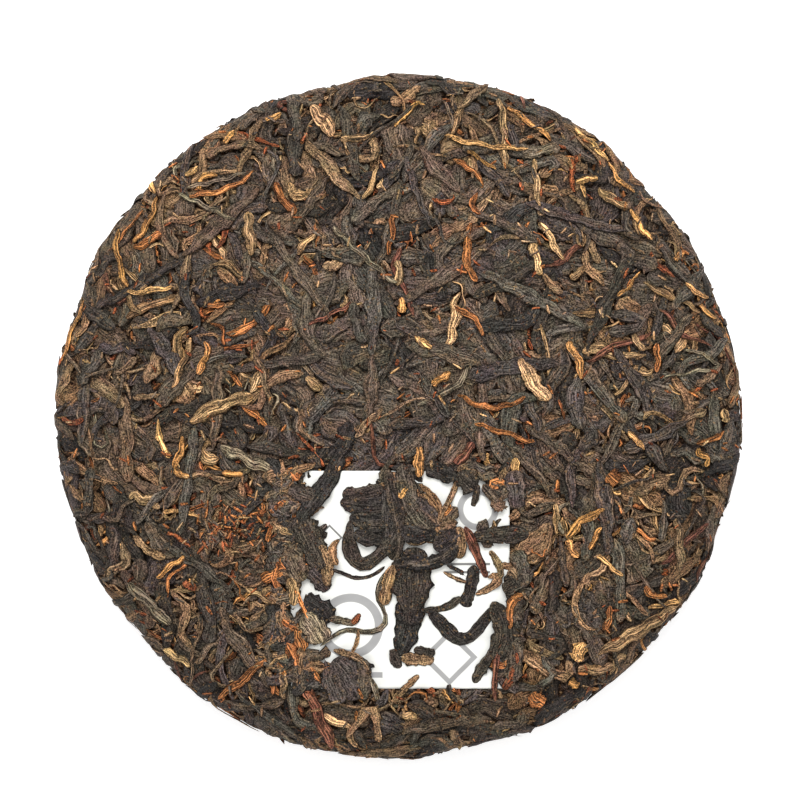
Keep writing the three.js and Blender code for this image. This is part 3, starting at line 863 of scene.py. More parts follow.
def rim_headings(rng, places, start):
    """Headings at random; past a reach most leaves lie roughly along the rim."""
    count = len(places)
    free = rng.uniform(0, 2 * np.pi, count)
    round_rim = np.arctan2(places[:, 1], places[:, 0]) + np.pi / 2 + rng.normal(0, 0.5, count)
    follows = (reach_of(places) > start) & (rng.random(count) < 0.7)
    return np.where(follows, round_rim, free)


def lay_drawn(rng, pile, kinds, size, places, least):
    """Lays drawn leaves of several kinds at places, below what is there already."""
    steps = SIZES[size][2]
    headings = rim_headings(rng, places, ALONG_RIM_FROM[pile.side])
    shares = np.array([share for _, share, _, _ in kinds])
    picks = rng.choice(len(kinds), len(places), p=shares / shares.sum())
    light = np.isin([kinds[pick][0] for pick in picks], ("tan", "gold", "orange", "brown"))
    darkened = rng.random(len(places)) < QUIET_DARKENED
    picks[(pile.side == "face") & in_quiet(places) & light & darkened] = 0
    lows = np.array([[length[0], width[0]] for _, _, length, width in kinds])[picks]
    highs = np.array([[length[1], width[1]] for _, _, length, width in kinds])[picks]
    drawn = lows + (highs - lows) * rng.random((len(places), 2)) ** 1.3
    paths = winding_paths(rng, places, headings, drawn[:, 0], drawn[:, 1], steps)
    halves = half_widths(rng, drawn[:, 1], blunt=2.7, steps=steps)
    for pick, path, half in zip(picks, paths, halves):
        thick = thickness_of(2 * half)
        top = pile.tuck(path, half, thick, stiff=0.9, least=least)
        if top is not None:
            pile.keep(kinds[pick][0], size, path, half, thick, top)


def spread_places(rng, count, reach):
    """Places spread evenly over a disc by the golden angle, then shaken."""
    number = np.arange(count)
    places = polar(reach * np.sqrt((number + 0.5) / count), number * GOLDEN_TURN)
    return rng.permutation(places + rng.normal(0, 2.5, places.shape))


def off_ticket(places, margin):
    """The places that are off the ticket by more than a margin."""
    return places[~inside_ticket(places[:, 0], places[:, 1], -margin)]


def face_roof(x, y):
    """How high the mould lets a leaf stand on the face: half a millimetre, with long and short
    waves that are strongest just inside the rim, and less beyond it."""
    reach = np.hypot(x, y)
    beyond = smoothstep(reach, 91, 99)
    rim = smoothstep(reach, 72, 88) * (1 - 0.9 * beyond)
    long_waves = (0.16 + 0.4 * rim) * rolling(x, y, 13, seed=3)
    short_waves = (0.09 + 0.1 * rim) * rolling(x, y, 5, seed=4)
    return 0.5 - 0.2 * beyond + long_waves + short_waves


def back_roof(x, y):
    """The same on the back: level on the resting ring, a little proud in the hollow."""
    reach = np.hypot(x, y)
    off_ring = np.maximum(1 - smoothstep(reach, 24, 36), smoothstep(reach, 82, 92))
    relief = 0.3 * rolling(x, y, 12, seed=5) + 0.12 * rolling(x, y, 5, seed=6)
    return -0.3 + 0.9 * off_ring + relief * (0.6 + 0.6 * off_ring)


def fill_openings(rng, pile, fills):
    """Lays ever smaller leaves in what is still open, a round at a time."""
    for rounds, count, kinds, size, least in fills:
        for _ in range(rounds):
            lay_drawn(rng, pile, kinds, size, pile.openings(rng, count), least)


def lay_face():
    """All the leaves and crumbs of the face and the rim, down to the side's foot."""
    rng = np.random.default_rng(SEED)
    pile = Pile("face", FACE_REACH, face_roof)
    lay_marked(rng, pile)
    lay_on_ticket(rng, pile)
    lay_ticket(pile)
    lay_zone(rng, pile, FACE_ZONE)
    lay_zone(rng, pile, RIM_ZONE)
    places = off_ticket(spread_places(rng, FACE_COUNT, FACE_REACH), TICKET_MARGIN)
    places = places[~in_quiet(places) | (rng.random(len(places)) < QUIET_KEPT)]
    lay_drawn(rng, pile, LARGE_KINDS, "large", places, least=0.35)
    places = np.array(QUIET_MIDDLE) + rng.normal(0, 0.5 * QUIET_REACH, (QUIET_COUNT, 2))
    places = np.concatenate([places, spread_places(rng, PATCH_COUNT, PATCH_REACH)])
    places = off_ticket(places, TICKET_MARGIN)
    lay_drawn(rng, pile, PATCH_KINDS, "large", places, least=0.16)
    fill_openings(rng, pile, FACE_FILLS)
    lay_crumbs(rng, pile)
    return pile


def lay_back():
    """All the leaves of the back: the hollow, the resting ring and the side's foot."""
    rng = np.random.default_rng(SEED + 1)
    pile = Pile("back", BACK_REACH, back_roof)
    lay_zone(rng, pile, HOLLOW_ZONE)
    lay_zone(rng, pile, LOWER_ZONE)
    places = spread_places(rng, BACK_COUNT, BACK_REACH)
    lay_drawn(rng, pile, LARGE_KINDS, "broad", places, least=0.3)
    fill_openings(rng, pile, BACK_FILLS)
    return pile


def lay_crumbs(rng, pile):
    """Scatters crumbs on what shows: most at random, some in one rusty patch."""
    angle = rng.uniform(0, 2 * np.pi, CRUMB_COUNT)
    places = polar(CRUMB_REACH * np.sqrt(rng.random(CRUMB_COUNT)), angle)
    places = off_ticket(places, 0.5)
    patch = np.array(RUST_PATCH[:2]) + rng.normal(0, 0.5, (RUST_COUNT, 2)) * RUST_PATCH[2:]
    in_patch = np.arange(len(places) + RUST_COUNT) >= len(places)
    places = np.concatenate([places, patch])
    row, col = pile.cells(places)
    count = len(places)
    lengths = rng.uniform(*CRUMB_LENGTHS, count)
    headings = rng.uniform(0, 2 * np.pi, count)
    share = np.linspace(-0.5, 0.5, SIZES["crumb"][2])
    paths = places[:, None] + share[None, :, None] * polar(lengths, headings)[:, None]
    widths = np.minimum(lengths * rng.uniform(*CRUMB_SLENDERNESS, count), WIDEST_CRUMB)
    picks = rng.integers(0, len(CRUMB_COLOURS), count)
    for index in range(count):
        half = widths[index] * np.array(CRUMB_OUTLINE)
        thick = np.full(3, 0.6 * widths[index])
        top = np.full(3, pile.high[row[index], col[index]] + 0.42 * thick[0])
        rusty = RUST_COLOURS[index % len(RUST_COLOURS)]
        colour = rusty if in_patch[index] else CRUMB_COLOURS[picks[index]]
        pile.keep(colour, "crumb", paths[index], half, thick, top)


def tube_faces(rings, sides):
    """Corners and sizes of a closed tube's faces with a pole at each end, and each corner's
    place along and around the tube, from 0 to 1. Vertices: rings by sides, then the two poles."""
    ring, side = np.meshgrid(np.arange(rings - 1), np.arange(sides), indexing="ij")
    level = ring.reshape(-1, 1) + [0, 0, 1, 1]
    turn = side.reshape(-1, 1) + [0, 1, 1, 0]
    corners = [level * sides + turn % sides]
    uv = [np.stack([(level + 1) / (rings + 1), turn / sides], axis=2)]
    edge = np.arange(sides)
    for pole, level, order in ((0, 0, [1, 0]), (1, rings - 1, [0, 1])):
        turn = edge[:, None] + order
        along = (level + 1) / (rings + 1)
        around = np.insert(turn / sides, 0, (edge + 0.5) / sides, axis=1)
        corners.append(np.insert(level * sides + turn % sides, 0, rings * sides + pole, axis=1))
        uv.append(np.stack([np.tile([pole, along, along], (sides, 1)), around], axis=2))
    sizes = np.repeat([4, 3], [len(corners[0]), 2 * sides])
    corners = np.concatenate([part.ravel() for part in corners])
    return corners, sizes, np.concatenate([part.reshape(-1, 2) for part in uv])


def resample(rows, spots):
    """Rows (leaf, step) or (leaf, step, 2) read at spots from 0 to 1 along the steps."""
    last = rows.shape[1] - 1
    spot = spots * last
    before = np.minimum(spot.astype(int), last - 1)
    share = (spot - before).reshape((1, -1) + (1,) * (rows.ndim - 2))
    return rows[:, before] * (1 - share) + rows[:, before + 1] * share


def above_floor(height):
    """Heights with those under a limit m eased upwards, to m e^((h - m) / m), above the floor."""
    eased_up = EASED_UNDER * np.exp((np.minimum(height, EASED_UNDER) - EASED_UNDER) / EASED_UNDER)
    return np.where(height < EASED_UNDER, eased_up, height)


def darkening_and_painted_shade_of(chart, paths, tops):
    """How much darker each leaf is: a little on the back; on the face, painted shade at the rim, more
    towards the lower edge and most of all on the deep ones, and on the outermost.
    """
    if chart.hand < 0:
        return np.full(len(paths), BACK_GLOOM)
    middle = paths[:, paths.shape[1] // 2]
    reach = reach_of(middle)
    at_rim = smoothstep(reach, 82, 96)
    downwards = 0.5 - 0.5 * np.clip(middle[:, 1] / CAKE_RADIUS, -1, 1)
    deep = smoothstep(-tops.mean(axis=1), 0.0, 1.1)
    outermost = smoothstep(reach, 92, 99)
    # Painted shade: at the rim, more towards the lower edge and on leaves deep in the pile, and on
    # the outermost ones
    share = RIM_PAINTED_SHADE + LOWER_PAINTED_SHADE * downwards + DEEP_PAINTED_SHADE * deep
    return at_rim * share + OUTER_PAINTED_SHADE * outermost


def calm_of(chart, paths):
    """How smoothly each leaf is pressed, from 0 to 1."""
    if chart.hand < 0:
        return np.full(len(paths), BACK_CALM)
    middle = paths[:, paths.shape[1] // 2]
    away = reach_of(middle - np.array(QUIET_MIDDLE))
    near = 1 - smoothstep(away, 0.6 * QUIET_REACH, 1.2 * QUIET_REACH)
    return LEAST_CALM + MORE_CALM * near


def leaf_points(rng, chart, paths, halves, thicks, tops, rings, sides, calm):
    """Vertices (leaf, vertex, 3) of pressed leaves along paths, and their relief (leaf, vertex).

    A ring has one corner below, and the others across its top from q = 1 to -1, raised by
    (1 - |q|^2.8)^0.5 of half the thickness plus a cos(wq + tu + f) + b cos(2.2wq - 1.4tu + g) of
    it, so that ridges and grooves wander along the leaf."""
    count = len(paths)
    spots = 0.5 - 0.5 * np.cos(np.pi * (np.arange(rings) + 0.6) / (rings + 0.2))
    path = resample(paths, spots)
    half = resample(halves, spots)[:, :, None]
    thick = resample(thicks, spots)[:, :, None]
    top = resample(tops, spots)[:, :, None]
    ahead = resample(np.gradient(paths, axis=1), spots)
    ahead = ahead / np.maximum(np.linalg.norm(ahead, axis=2, keepdims=True), 1e-6)
    aside = np.stack([-ahead[..., 1], ahead[..., 0]], axis=2)
    across = np.linspace(1, -1, sides - 1)
    across = np.concatenate([[0], np.sign(across) * np.abs(across) ** 0.8])
    dome = np.sqrt(1 - np.abs(across) ** 2.8)
    dome[0] = -1
    cell = (count, 1, 1)
    wave = rng.uniform(*GROOVE_WAVES, cell) * across
    twist = rng.normal(0, GROOVE_TWIST, cell) * (2 * spots[None, :, None] - 1)
    lobe = rng.uniform(*COARSE_GROOVES, cell) * np.cos(wave + twist + rng.uniform(0, 6.3, cell))
    lobe = lobe + rng.uniform(*FINE_GROOVES, cell) * np.cos(
        2.2 * wave - 1.4 * twist + rng.uniform(0, 6.3, cell))
    rough = rng.normal(0, LEAF_ROUGHNESS, (count, rings, sides))
    relief = (lobe + rough) * (np.arange(sides) > 0) * (1 - 0.5 * calm[:, None, None])
    ragged = rng.normal(0, RAGGED_EDGE / math.sqrt(rings), (count, rings, sides))
    edge = 1 + ragged * (np.abs(across) > 0.9)
    offset = half * across * edge * chart.hand
    lift = top - 0.5 * thick + 0.5 * thick * (dome + relief)
    flat = path[:, :, None] + aside[:, :, None] * offset[..., None]
    body = chart.place(flat, lift).reshape(count, rings * sides, 3)
    ends = paths[:, [0, -1]]
    end_lift = tops[:, [0, -1]] - 0.5 * thicks[:, [0, -1]]
    points = np.concatenate([body, chart.place(ends, end_lift)], axis=1)
    points[..., 2] = above_floor(points[..., 2])
    relief = np.concatenate([relief.reshape(count, -1), np.zeros((count, 2))], axis=1)
    return points, relief


def per_vertex(ring, rings, ends):
    """One ring's values repeated for each ring of a leaf, then those of its two ends."""
    return np.concatenate([np.tile(ring, rings), ends])


def leaf_tints(rng, colour, relief, rings, sides, calm, darkening_and_painted_shade):
    """Colours (leaf, vertex, 3): a base and a second tone that wander over the leaf, some tips paler,
    and painted light and shade: ridges lighter than grooves, painted shade along the edges, and
    painted highlights beside some edges."""
    count = len(relief)
    palette = np.array(PALETTES[colour])
    near = {"ink": "dark", "dark": "brown", "brown": "tan", "tan": "gold"}.get(colour, colour)
    cell = (count, 1)
    dull = colour in ("ink", "dark")
    base = palette[rng.integers(0, len(palette), count)]
    base = base * np.exp(rng.normal(0, DULL_SPREAD if dull else LIGHT_SPREAD, cell))
    partner = np.array(PALETTES[near])
    second = partner[rng.integers(0, len(partner), count)] * np.exp(rng.normal(-0.1, 0.2, cell))
    hue = 1 + rng.normal(0, HUE_SPREAD, (count, 3))
    along = np.repeat(np.linspace(-1, 1, rings), sides)
    along = np.concatenate([along, [-1, 1]])
    around = per_vertex(2 * np.pi * np.arange(sides) / sides, rings, [0, 0])
    wander = np.sin(rng.uniform(1, 4, cell) * along + rng.choice([1, 2], cell) * around
                    + rng.uniform(0, 6.3, cell))
    share = SECOND_TONE * smoothstep(wander, 0.1, 1.0) * rng.random(cell)
    tip = smoothstep(np.abs(along), 0.6, 1.0) * (rng.random(cell) < PALE_TIPS) * TIP_TONE
    share = np.clip(share + tip, 0, 0.9)[..., None]
    tint = base[:, None] * (1 - share) + second[:, None] * share
    greyed = GREYED * calm[:, None, None] * (colour in ("ink", "dark", "brown"))
    tint = tint * (1 - greyed) + tint.mean(axis=2, keepdims=True) * greyed
    # Darker by the painted shade of the rim, the lower edge and the deep pile, and a little on the
    # back
    tint = tint * (0.98 + 0.08 * calm[:, None, None]) * (1 - darkening_and_painted_shade[:, None, None])
    side = np.arange(sides)
    edge = per_vertex((side <= 1) | (side == sides - 1), rings, [True, True])
    # Painted light and shade: lighter where the relief raises a ridge, darker in its grooves, with a
    # little random tone
    shade = 1 + 0.9 * relief + rng.normal(0, 0.06, relief.shape)
    # Painted shade along each leaf's edges, less where it is pressed calm; the rest a little lighter
    rim = 0.26 + 0.5 * calm[:, None] + 0.16 * dull
    shade = shade * np.where(edge, rim, 1.04 if dull else 1.1)
    # Painted highlights: a lit line beside either edge of some leaves
    beside = per_vertex(side == 2, rings, [False, False])
    opposite = per_vertex(side == sides - 2, rings, [False, False])
    lit = rng.random((2, count, 1)) ** 1.5 * smoothstep(np.abs(wander), 0.2, 0.7)
    shade = shade * (1 + (0.5 - 0.2 * dull) * (lit[0] * beside + lit[1] * opposite))
    return np.clip(tint * hue[:, None] * shade[..., None], 0.002, 1)


class Heap:
    """Gathers leaf meshes of one piece."""

    def __init__(self):
        self.parts = {}
        self.vertices = 0
        self.leaves = 0
        self.triangles = 0

    def keep(self, **arrays):
        for name, values in arrays.items():
            self.parts.setdefault(name, []).append(values)

    def add(self, rng, chart, colour, size, rows):
        """Adds a batch of leaves of one colour and mesh size."""
        rings, sides, _ = SIZES[size]
        paths, halves, thicks, tops = (np.array(column) for column in zip(*rows))
        calm = calm_of(chart, paths)
        points, relief = leaf_points(rng, chart, paths, halves, thicks, tops, rings, sides, calm)
        darkening_and_painted_shade = darkening_and_painted_shade_of(chart, paths, tops)
        tints = leaf_tints(rng, colour, relief, rings, sides, calm, darkening_and_painted_shade)
        corners, sizes, uv = tube_faces(rings, sides)
        count, each = points.shape[:2]
        number = np.arange(count)
        lengths = np.linalg.norm(np.diff(paths, axis=1), axis=2).sum(axis=1)
        girths = GIRTH_OF_WIDTH * 2 * halves.max(axis=1)
        shift = rng.uniform(0, MAP_SPREAD, (count, 1, 2))
        self.keep(
            points=points.reshape(-1, 3),
            tints=tints.reshape(-1, 3),
            corners=(self.vertices + number[:, None] * each + corners).ravel(),
            sizes=np.tile(sizes, count),
            leaf_map=(uv * np.stack([lengths, girths], axis=1)[:, None] + shift).reshape(-1, 2),
            cell_map=np.tile(uv, (count, 1)),
            cells=np.repeat(self.leaves + number, len(uv)),
        )
        self.vertices += count * each
        self.leaves += count
        self.triangles += 2 * rings * sides * count

    def build(self, name, material):
        """Makes the piece, with its tint and two maps: one in millimetres, and one to bake with,
        where each leaf has a square cell of its own."""
        whole = {key: np.concatenate(values) for key, values in self.parts.items()}
        mesh = new_mesh(name, whole["points"], whole["corners"], whole["sizes"])
        tint = mesh.attributes.new("tint", "FLOAT_COLOR", "POINT")
        colour = np.insert(whole["tints"], 3, 1, axis=1)
        tint.data.foreach_set("color", colour.astype(np.float32).ravel())
        row = math.ceil(math.sqrt(self.leaves))
        corner = np.stack([whole["cells"] % row, whole["cells"] // row], axis=1)
        inner = CELL_MARGIN + (1 - 2 * CELL_MARGIN) * whole["cell_map"]
        add_map(mesh, "leaf", whole["leaf_map"])
        add_map(mesh, "OFBake", (corner + inner) / row)
        add_piece(name, mesh, material, "tea_cake")


def new_mesh(name, points, corners, sizes):
    """A smooth-shaded mesh in metres from arrays in millimetres."""
    mesh = bpy.data.meshes.new(name)
    mesh.vertices.add(len(points))
    mesh.vertices.foreach_set("co", (points * MM).astype(np.float32).ravel())
    mesh.loops.add(len(corners))
    mesh.loops.foreach_set("vertex_index", corners.astype(np.int32))
    mesh.polygons.add(len(sizes))
    starts = np.concatenate([[0], np.cumsum(sizes)[:-1]])
    mesh.polygons.foreach_set("loop_start", starts.astype(np.int32))
    mesh.polygons.foreach_set("use_smooth", np.ones(len(sizes), bool))
    mesh.update(calc_edges=True)
    mesh.validate()
    return mesh


def add_map(mesh, name, spots):
    """A UV map from one spot for each corner."""
    layer = mesh.uv_layers.new(name=name)
    layer.data.foreach_set("uv", spots.astype(np.float32).ravel())


def add_piece(name, mesh, material, node):
    """An object that rides on the cake, stands for a solid and takes a material."""
    piece = bpy.data.objects.new(name, mesh)
    bpy.context.scene.collection.objects.link(piece)
    mesh.materials.append(material)
    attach(piece, "root")
    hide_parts(node)
    return piece


def arithmetic(operation, turned=False):
    """A method that adds a Math node of its wire and other values, in turned order or not."""
    def method(self, *others):
        values = (self, *others)
        return self.math(operation, *(reversed(values) if turned else values))
    return method


class Wire:
    """An output socket; arithmetic with it adds Math nodes to its tree."""

    def __init__(self, tree, socket):
        self.tree = tree
        self.socket = socket

    def math(self, operation, *values):
        node = self.tree.nodes.new("ShaderNodeMath")
        node.operation = operation
        for entry, value in zip(node.inputs, values):
            connect(self.tree, entry, value)
        return Wire(self.tree, node.outputs[0])

    __add__ = arithmetic("ADD")
    __radd__ = arithmetic("ADD", turned=True)
    __sub__ = arithmetic("SUBTRACT")
    __rsub__ = arithmetic("SUBTRACT", turned=True)
    __mul__ = arithmetic("MULTIPLY")
    __rmul__ = arithmetic("MULTIPLY", turned=True)
    __abs__ = arithmetic("ABSOLUTE")
    max = arithmetic("MAXIMUM")
    min = arithmetic("MINIMUM")
    root = arithmetic("SQRT")


def connect(tree, entry, value):
    """Links a wire to an input, or sets the input to a plain value."""
    if isinstance(value, Wire):
        tree.links.new(value.socket, entry)
    else:
        entry.default_value = value


class Paint:
    """A material's node tree, and one way to add any node to it."""

    def __init__(self, name):
        self.material = bpy.data.materials.new(name)
        self.material.use_nodes = True
        self.tree = self.material.node_tree
        self.shader = self.tree.nodes["Principled BSDF"]

    def node(self, kind, output, settings=None, **values):
        """A node with its settings and inputs, read at one output. An input is named, or
        numbered after an underscore."""
        node = self.tree.nodes.new(kind)
        for name, value in (settings or {}).items():
            setattr(node, name, value)
        for name, value in values.items():
            entry = node.inputs[int(name[1:])] if name[0] == "_" else node.inputs[name]
            connect(self.tree, entry, value)
        return Wire(self.tree, node.outputs[output])

    def noise(self, vector, scale, detail=3.0, roughness=0.6):
        return self.node(
            "ShaderNodeTexNoise", "Fac",
            Vector=vector, Scale=scale, Detail=detail, Roughness=roughness,
        )

    def hues(self, vector, scale):
        """Noise that differs in red, green and blue."""
        return self.node("ShaderNodeTexNoise", "Color", Vector=vector, Scale=scale, Detail=2.0)

    def ramp(self, value, low, high):
        """0 below low, 1 above high, smooth between."""
        settings = {"interpolation_type": "SMOOTHSTEP"}
        return self.node(
            "ShaderNodeMapRange", 0, settings,
            _0=value, _1=float(low), _2=float(high), _3=0.0, _4=1.0,
        )

    def mix(self, share, first, second, blend="MIX"):
        settings = {"data_type": "RGBA", "blend_type": blend}
        return self.node("ShaderNodeMix", 2, settings, _0=share, _6=first, _7=second)

    def vectors(self, operation, first, second):
        return self.node("ShaderNodeVectorMath", 0, {"operation": operation}, _0=first, _1=second)

    def set(self, **values):
        """Sets or links the shader's inputs; an underscore stands for a space."""
        for name, value in values.items():
            connect(self.tree, self.shader.inputs[name.replace("_", " ")], value)

    def bump(self, height, strength, distance):
        values = {"Height": height, "Strength": strength, "Distance": distance}
        self.set(Normal=self.node("ShaderNodeBump", 0, **values))


def rgba(colour):
    """A linear colour as a node input takes it."""
    return (*map(float, colour), 1.0)


# Noise scales, in waves a metre
GRAIN_SCALE = 2300.0
MOTTLE_SCALE = 1150.0
SPECK_SCALE = 1000.0
TINGE_SCALE = 280.0
PATCH_SCALE = 230.0
WARP_SCALE = 350.0

# Where a relief goes from painted shade to painted light and its painted groove shade from none to
# full, where specks go from none to full, and how strongly the painted light from the relief
# brightens a leaf and the core
LIGHT_RANGE = (0.447, 0.583)
GROOVE_SHADE_RANGE = (0.46, 0.39)
PALE_SPECK_RANGE = (0.62, 0.7)
RUST_SPECK_RANGE = (0.35, 0.28)
LEAF_GAIN = 3.9
CORE_GAIN = 2.9

# The dark brown painted into grooves and creases as their shade
PAINTED_GROOVE_SHADE = srgb(25, 14, 8)
PALE_SPECK = srgb(176, 140, 98)
RUST_SPECK = srgb(150, 84, 44)

# The core: its two tints, darker than the leaves, partly as its pressed bits' own tone and partly as
# painted shade of the deep gaps between the leaves; and its streaks' directions in radians and size
# in metres
CORE_TINTS = (srgb(38, 28, 21), srgb(68, 52, 39))
STREAK_TURNS = (0.4, 1.5, 2.6)
STREAK_SCALE = (0.0042, 0.0011, 0.0012)


def crease_of(paint, noise, width):
    """0 on the thin winding lines where a noise crosses its middle, 1 off them."""
    return paint.ramp(abs(noise - 0.5), 0.0, width)


def specked_colour_with_painted_light(paint, tint, place, relief, crease, gain):
    """A tint with painted shade in grooves and creases and painted light on ridges, from the relief
    that the bump also uses, with pale and rusty specks.
    """
    # Painted light and shade: the tint scaled up on the relief's ridges and down in its grooves
    light = 0.22 + gain * paint.ramp(relief, *LIGHT_RANGE)
    shade = paint.node("ShaderNodeCombineXYZ", 0, X=light, Y=light, Z=light)
    colour = paint.mix(1.0, tint, shade, "MULTIPLY")
    colour = paint.mix(0.16, colour, paint.hues(place, TINGE_SCALE), "OVERLAY")
    speck = paint.noise(place, SPECK_SCALE, 2.0, 0.5)
    colour = paint.mix(paint.ramp(speck, *PALE_SPECK_RANGE) * 0.55, colour, rgba(PALE_SPECK))
    colour = paint.mix(paint.ramp(speck, *RUST_SPECK_RANGE) * 0.4, colour, rgba(RUST_SPECK))
    # Painted shade: the groove colour mixed in where the relief is low and along the creases
    dark = 1 - (1 - paint.ramp(relief, *GROOVE_SHADE_RANGE) * 0.95) * (0.2 + 0.8 * crease)
    return paint.mix(dark, colour, rgba(PAINTED_GROOVE_SHADE))


def leaf_material(name, stripes):
    """Dull leaf: the vertices' tint with its painted shade, wrinkled along the leaf by a share and
    mottled for the rest, with painted light and shade from that relief.
    """
    paint = Paint(name)
    place = paint.node("ShaderNodeTexCoord", "Object")
    leaf = paint.node("ShaderNodeUVMap", 0, {"uv_map": "leaf"})
    tint = paint.node("ShaderNodeVertexColor", 0, {"layer_name": "tint"})
    long_grain = paint.vectors("MULTIPLY", leaf, (0.15, 1.3, 1.0))
    short_grain = paint.vectors("MULTIPLY", leaf, (0.45, 1.1, 1.0))
    fibre = paint.noise(long_grain, 1.0, 4.0, 0.66)
    mottle = paint.noise(short_grain, 1.0, 4.0, 0.7)
    grain = paint.noise(place, GRAIN_SCALE, 3.0, 0.7)
    crease = crease_of(paint, fibre, 0.03).max(1 - 1.8 * stripes)
    relief = stripes * fibre + (1 - stripes) * (0.4 * mottle + 0.6 * grain)
    colour = specked_colour_with_painted_light(paint, tint, place, relief, crease, LEAF_GAIN)
    paint.set(Base_Color=colour, Roughness=0.5 + 0.35 * grain, Specular_IOR_Level=0.18)
    paint.bump(relief + 0.12 * crease, 1.0, 0.0016)
    return paint.material


def streaks(paint, place, angle):
    """Noise drawn out along one direction of the face."""
    turned = paint.node(
        "ShaderNodeMapping", 0, {"vector_type": "TEXTURE"},
        Vector=place, Rotation=(0.0, 0.0, angle), Scale=STREAK_SCALE,
    )
    return paint.noise(turned, 1.0, 4.0, 0.62)


def core_material():
    """Small pressed bits between the leaves: patches with streaks of three directions, with painted
    light and shade from their relief.
    """
    paint = Paint("leaf_core")
    place = paint.node("ShaderNodeTexCoord", "Object")
    warp = paint.vectors("MULTIPLY", paint.hues(place, WARP_SCALE), (0.004, 0.004, 0.004))
    bent = paint.vectors("ADD", place, warp)
    patch = paint.node("ShaderNodeTexVoronoi", "Color", Vector=bent, Scale=PATCH_SCALE)
    border = paint.node(
        "ShaderNodeTexVoronoi", "Distance", {"feature": "DISTANCE_TO_EDGE"},
        Vector=bent, Scale=PATCH_SCALE,
    )
    share, tone = (paint.node("ShaderNodeSeparateXYZ", axis, Vector=patch) for axis in (0, 1))
    first, second, third = (streaks(paint, place, angle) for angle in STREAK_TURNS)
    pick = paint.ramp(share, 0.33, 0.35)
    other = paint.ramp(share, 0.64, 0.66)
    streak = first * (1 - pick) + second * (pick - other) + third * other
    mottle = paint.noise(place, MOTTLE_SCALE, 4.0, 0.65)
    crease = crease_of(paint, streak, 0.03).min(paint.ramp(border, 0.0, 0.06))
    relief = 0.6 * streak + 0.4 * mottle
    tint = paint.mix(tone, *map(rgba, CORE_TINTS))
    colour = specked_colour_with_painted_light(paint, tint, place, relief, crease, CORE_GAIN)
    paint.set(Base_Color=colour, Roughness=0.85, Specular_IOR_Level=0.05)
    paint.bump(relief + 0.15 * crease, 1.0, 0.0018)
    return paint.material


def core_mesh(chart):
    """The body drawn in to the core's level, rough all over: rows by arc length, closed at both
    middles. Its rows come from the face chart, whose arc runs on to the middle of the back."""
    rows, turns = CORE_GRID
    arc = chart.arc[-1] * (np.arange(rows) + 0.5) / rows
    flat = polar(arc[:, None], 2 * np.pi * np.arange(turns) / turns)
    x, y, _ = np.moveaxis(chart.place(flat, np.full((rows, turns), -CORE_DEPTH)), -1, 0)
    rough = rolling(x, y, 4.0, seed=21) + rolling(x, y, 2.2, seed=22)
    near = np.abs(flat - np.array(TICKET_MIDDLE)).max(axis=-1)
    dip = UNDER_TICKET * smoothstep(-near, -TICKET_SIZE[0] / 2 - 1.5, -TICKET_SIZE[0] / 2 + 0.5)
    dip = np.where(arc[:, None] < FACE_REACH, dip, 0)
    lift = core_level(arc)[:, None] + CORE_ROUGHNESS * rough - dip
    middles = chart.place(np.array([[0.0, 0.0], [chart.arc[-1], 0.0]]), np.full(2, -CORE_DEPTH))
    points = np.concatenate([chart.place(flat, lift).reshape(-1, 3), middles])
    points[:, 2] = np.maximum(points[:, 2], CORE_LOWEST)
    corners, sizes, _ = tube_faces(rows, turns)
    return new_mesh("core", points, corners, sizes)


def ticket_mesh(chart):
    """The paper: a crinkled grid on the sunk face, with a UV map in millimetres."""
    line = np.linspace(-0.5, 0.5, TICKET_STEPS + 1)
    across, up = np.meshgrid(line * TICKET_SIZE[0], line * TICKET_SIZE[1], indexing="xy")
    x = TICKET_MIDDLE[0] + across
    y = TICKET_MIDDLE[1] + up
    crinkle = np.sin(2 * np.pi * x / TICKET_WAVE_LENGTH)
    crinkle *= np.cos(2 * np.pi * (y + 0.3 * x) / (0.8 * TICKET_WAVE_LENGTH))
    level = chart.place(np.stack([x, y], axis=-1), np.zeros(x.shape))[..., 2]
    z = level + PAPER_LEVEL + TICKET_WAVE * crinkle
    for size, length, seed in TICKET_CREASES:
        z = z + size * rolling(x, y, length, seed)
    points = np.stack([x, y, z], axis=-1).reshape(-1, 3)
    row = TICKET_STEPS + 1
    low, side = np.meshgrid(np.arange(TICKET_STEPS), np.arange(TICKET_STEPS), indexing="ij")
    first = (low * row + side).ravel()
    corners = np.stack([first, first + 1, first + row + 1, first + row], axis=1).ravel()
    mesh = new_mesh("ticket", points, corners, np.full(len(first), 4))
    add_map(mesh, "print", np.stack([across.ravel(), up.ravel()], axis=1)[corners])
    return mesh


# The ticket's plain shapes, in millimetres from its middle: kind, middle, radius or length,
# and stroke
PALE_SHAPES = (
    ("ring", (-14.0, -13.0), 8.0, 2.4), ("lozenge", (14.0, -22.0), 7.0, 1.4),
    ("ring", (22.0, 20.0), 5.0, 1.8), ("bar", (-14.0, -27.0), 18.0, 1.6),
)
FINE_SHAPES = (
    ("bar", (19.0, 4.5), 13.0, 0.7), ("bar", (19.0, 2.2), 13.0, 0.7),
    ("lozenge", (-20.0, 12.0), 3.4, 0.5),
)


def shape_at(paint, x, y, kind, middle, size, width):
    """1 on a level bar, or on the stroke of a ring, at sqrt(x^2 + y^2) = r, or of a lozenge, at
    |x| + |y| = r."""
    x = x - middle[0]
    y = y - middle[1]
    if kind == "bar":
        return paint.ramp((abs(x) - size / 2).max(abs(y) - width / 2), 0.12, -0.12)
    reach = (x * x + y * y).root() if kind == "ring" else abs(x) + abs(y)
    half = width * (0.5 if kind == "ring" else 0.7)
    return paint.ramp(abs(reach - size), half + 0.15, half - 0.15)


def shapes_at(paint, x, y, shapes):
    """1 on any of several shapes."""
    total, *others = (shape_at(paint, x, y, *shape) for shape in shapes)
    for shape in others:
        total = total.max(shape)
    return total


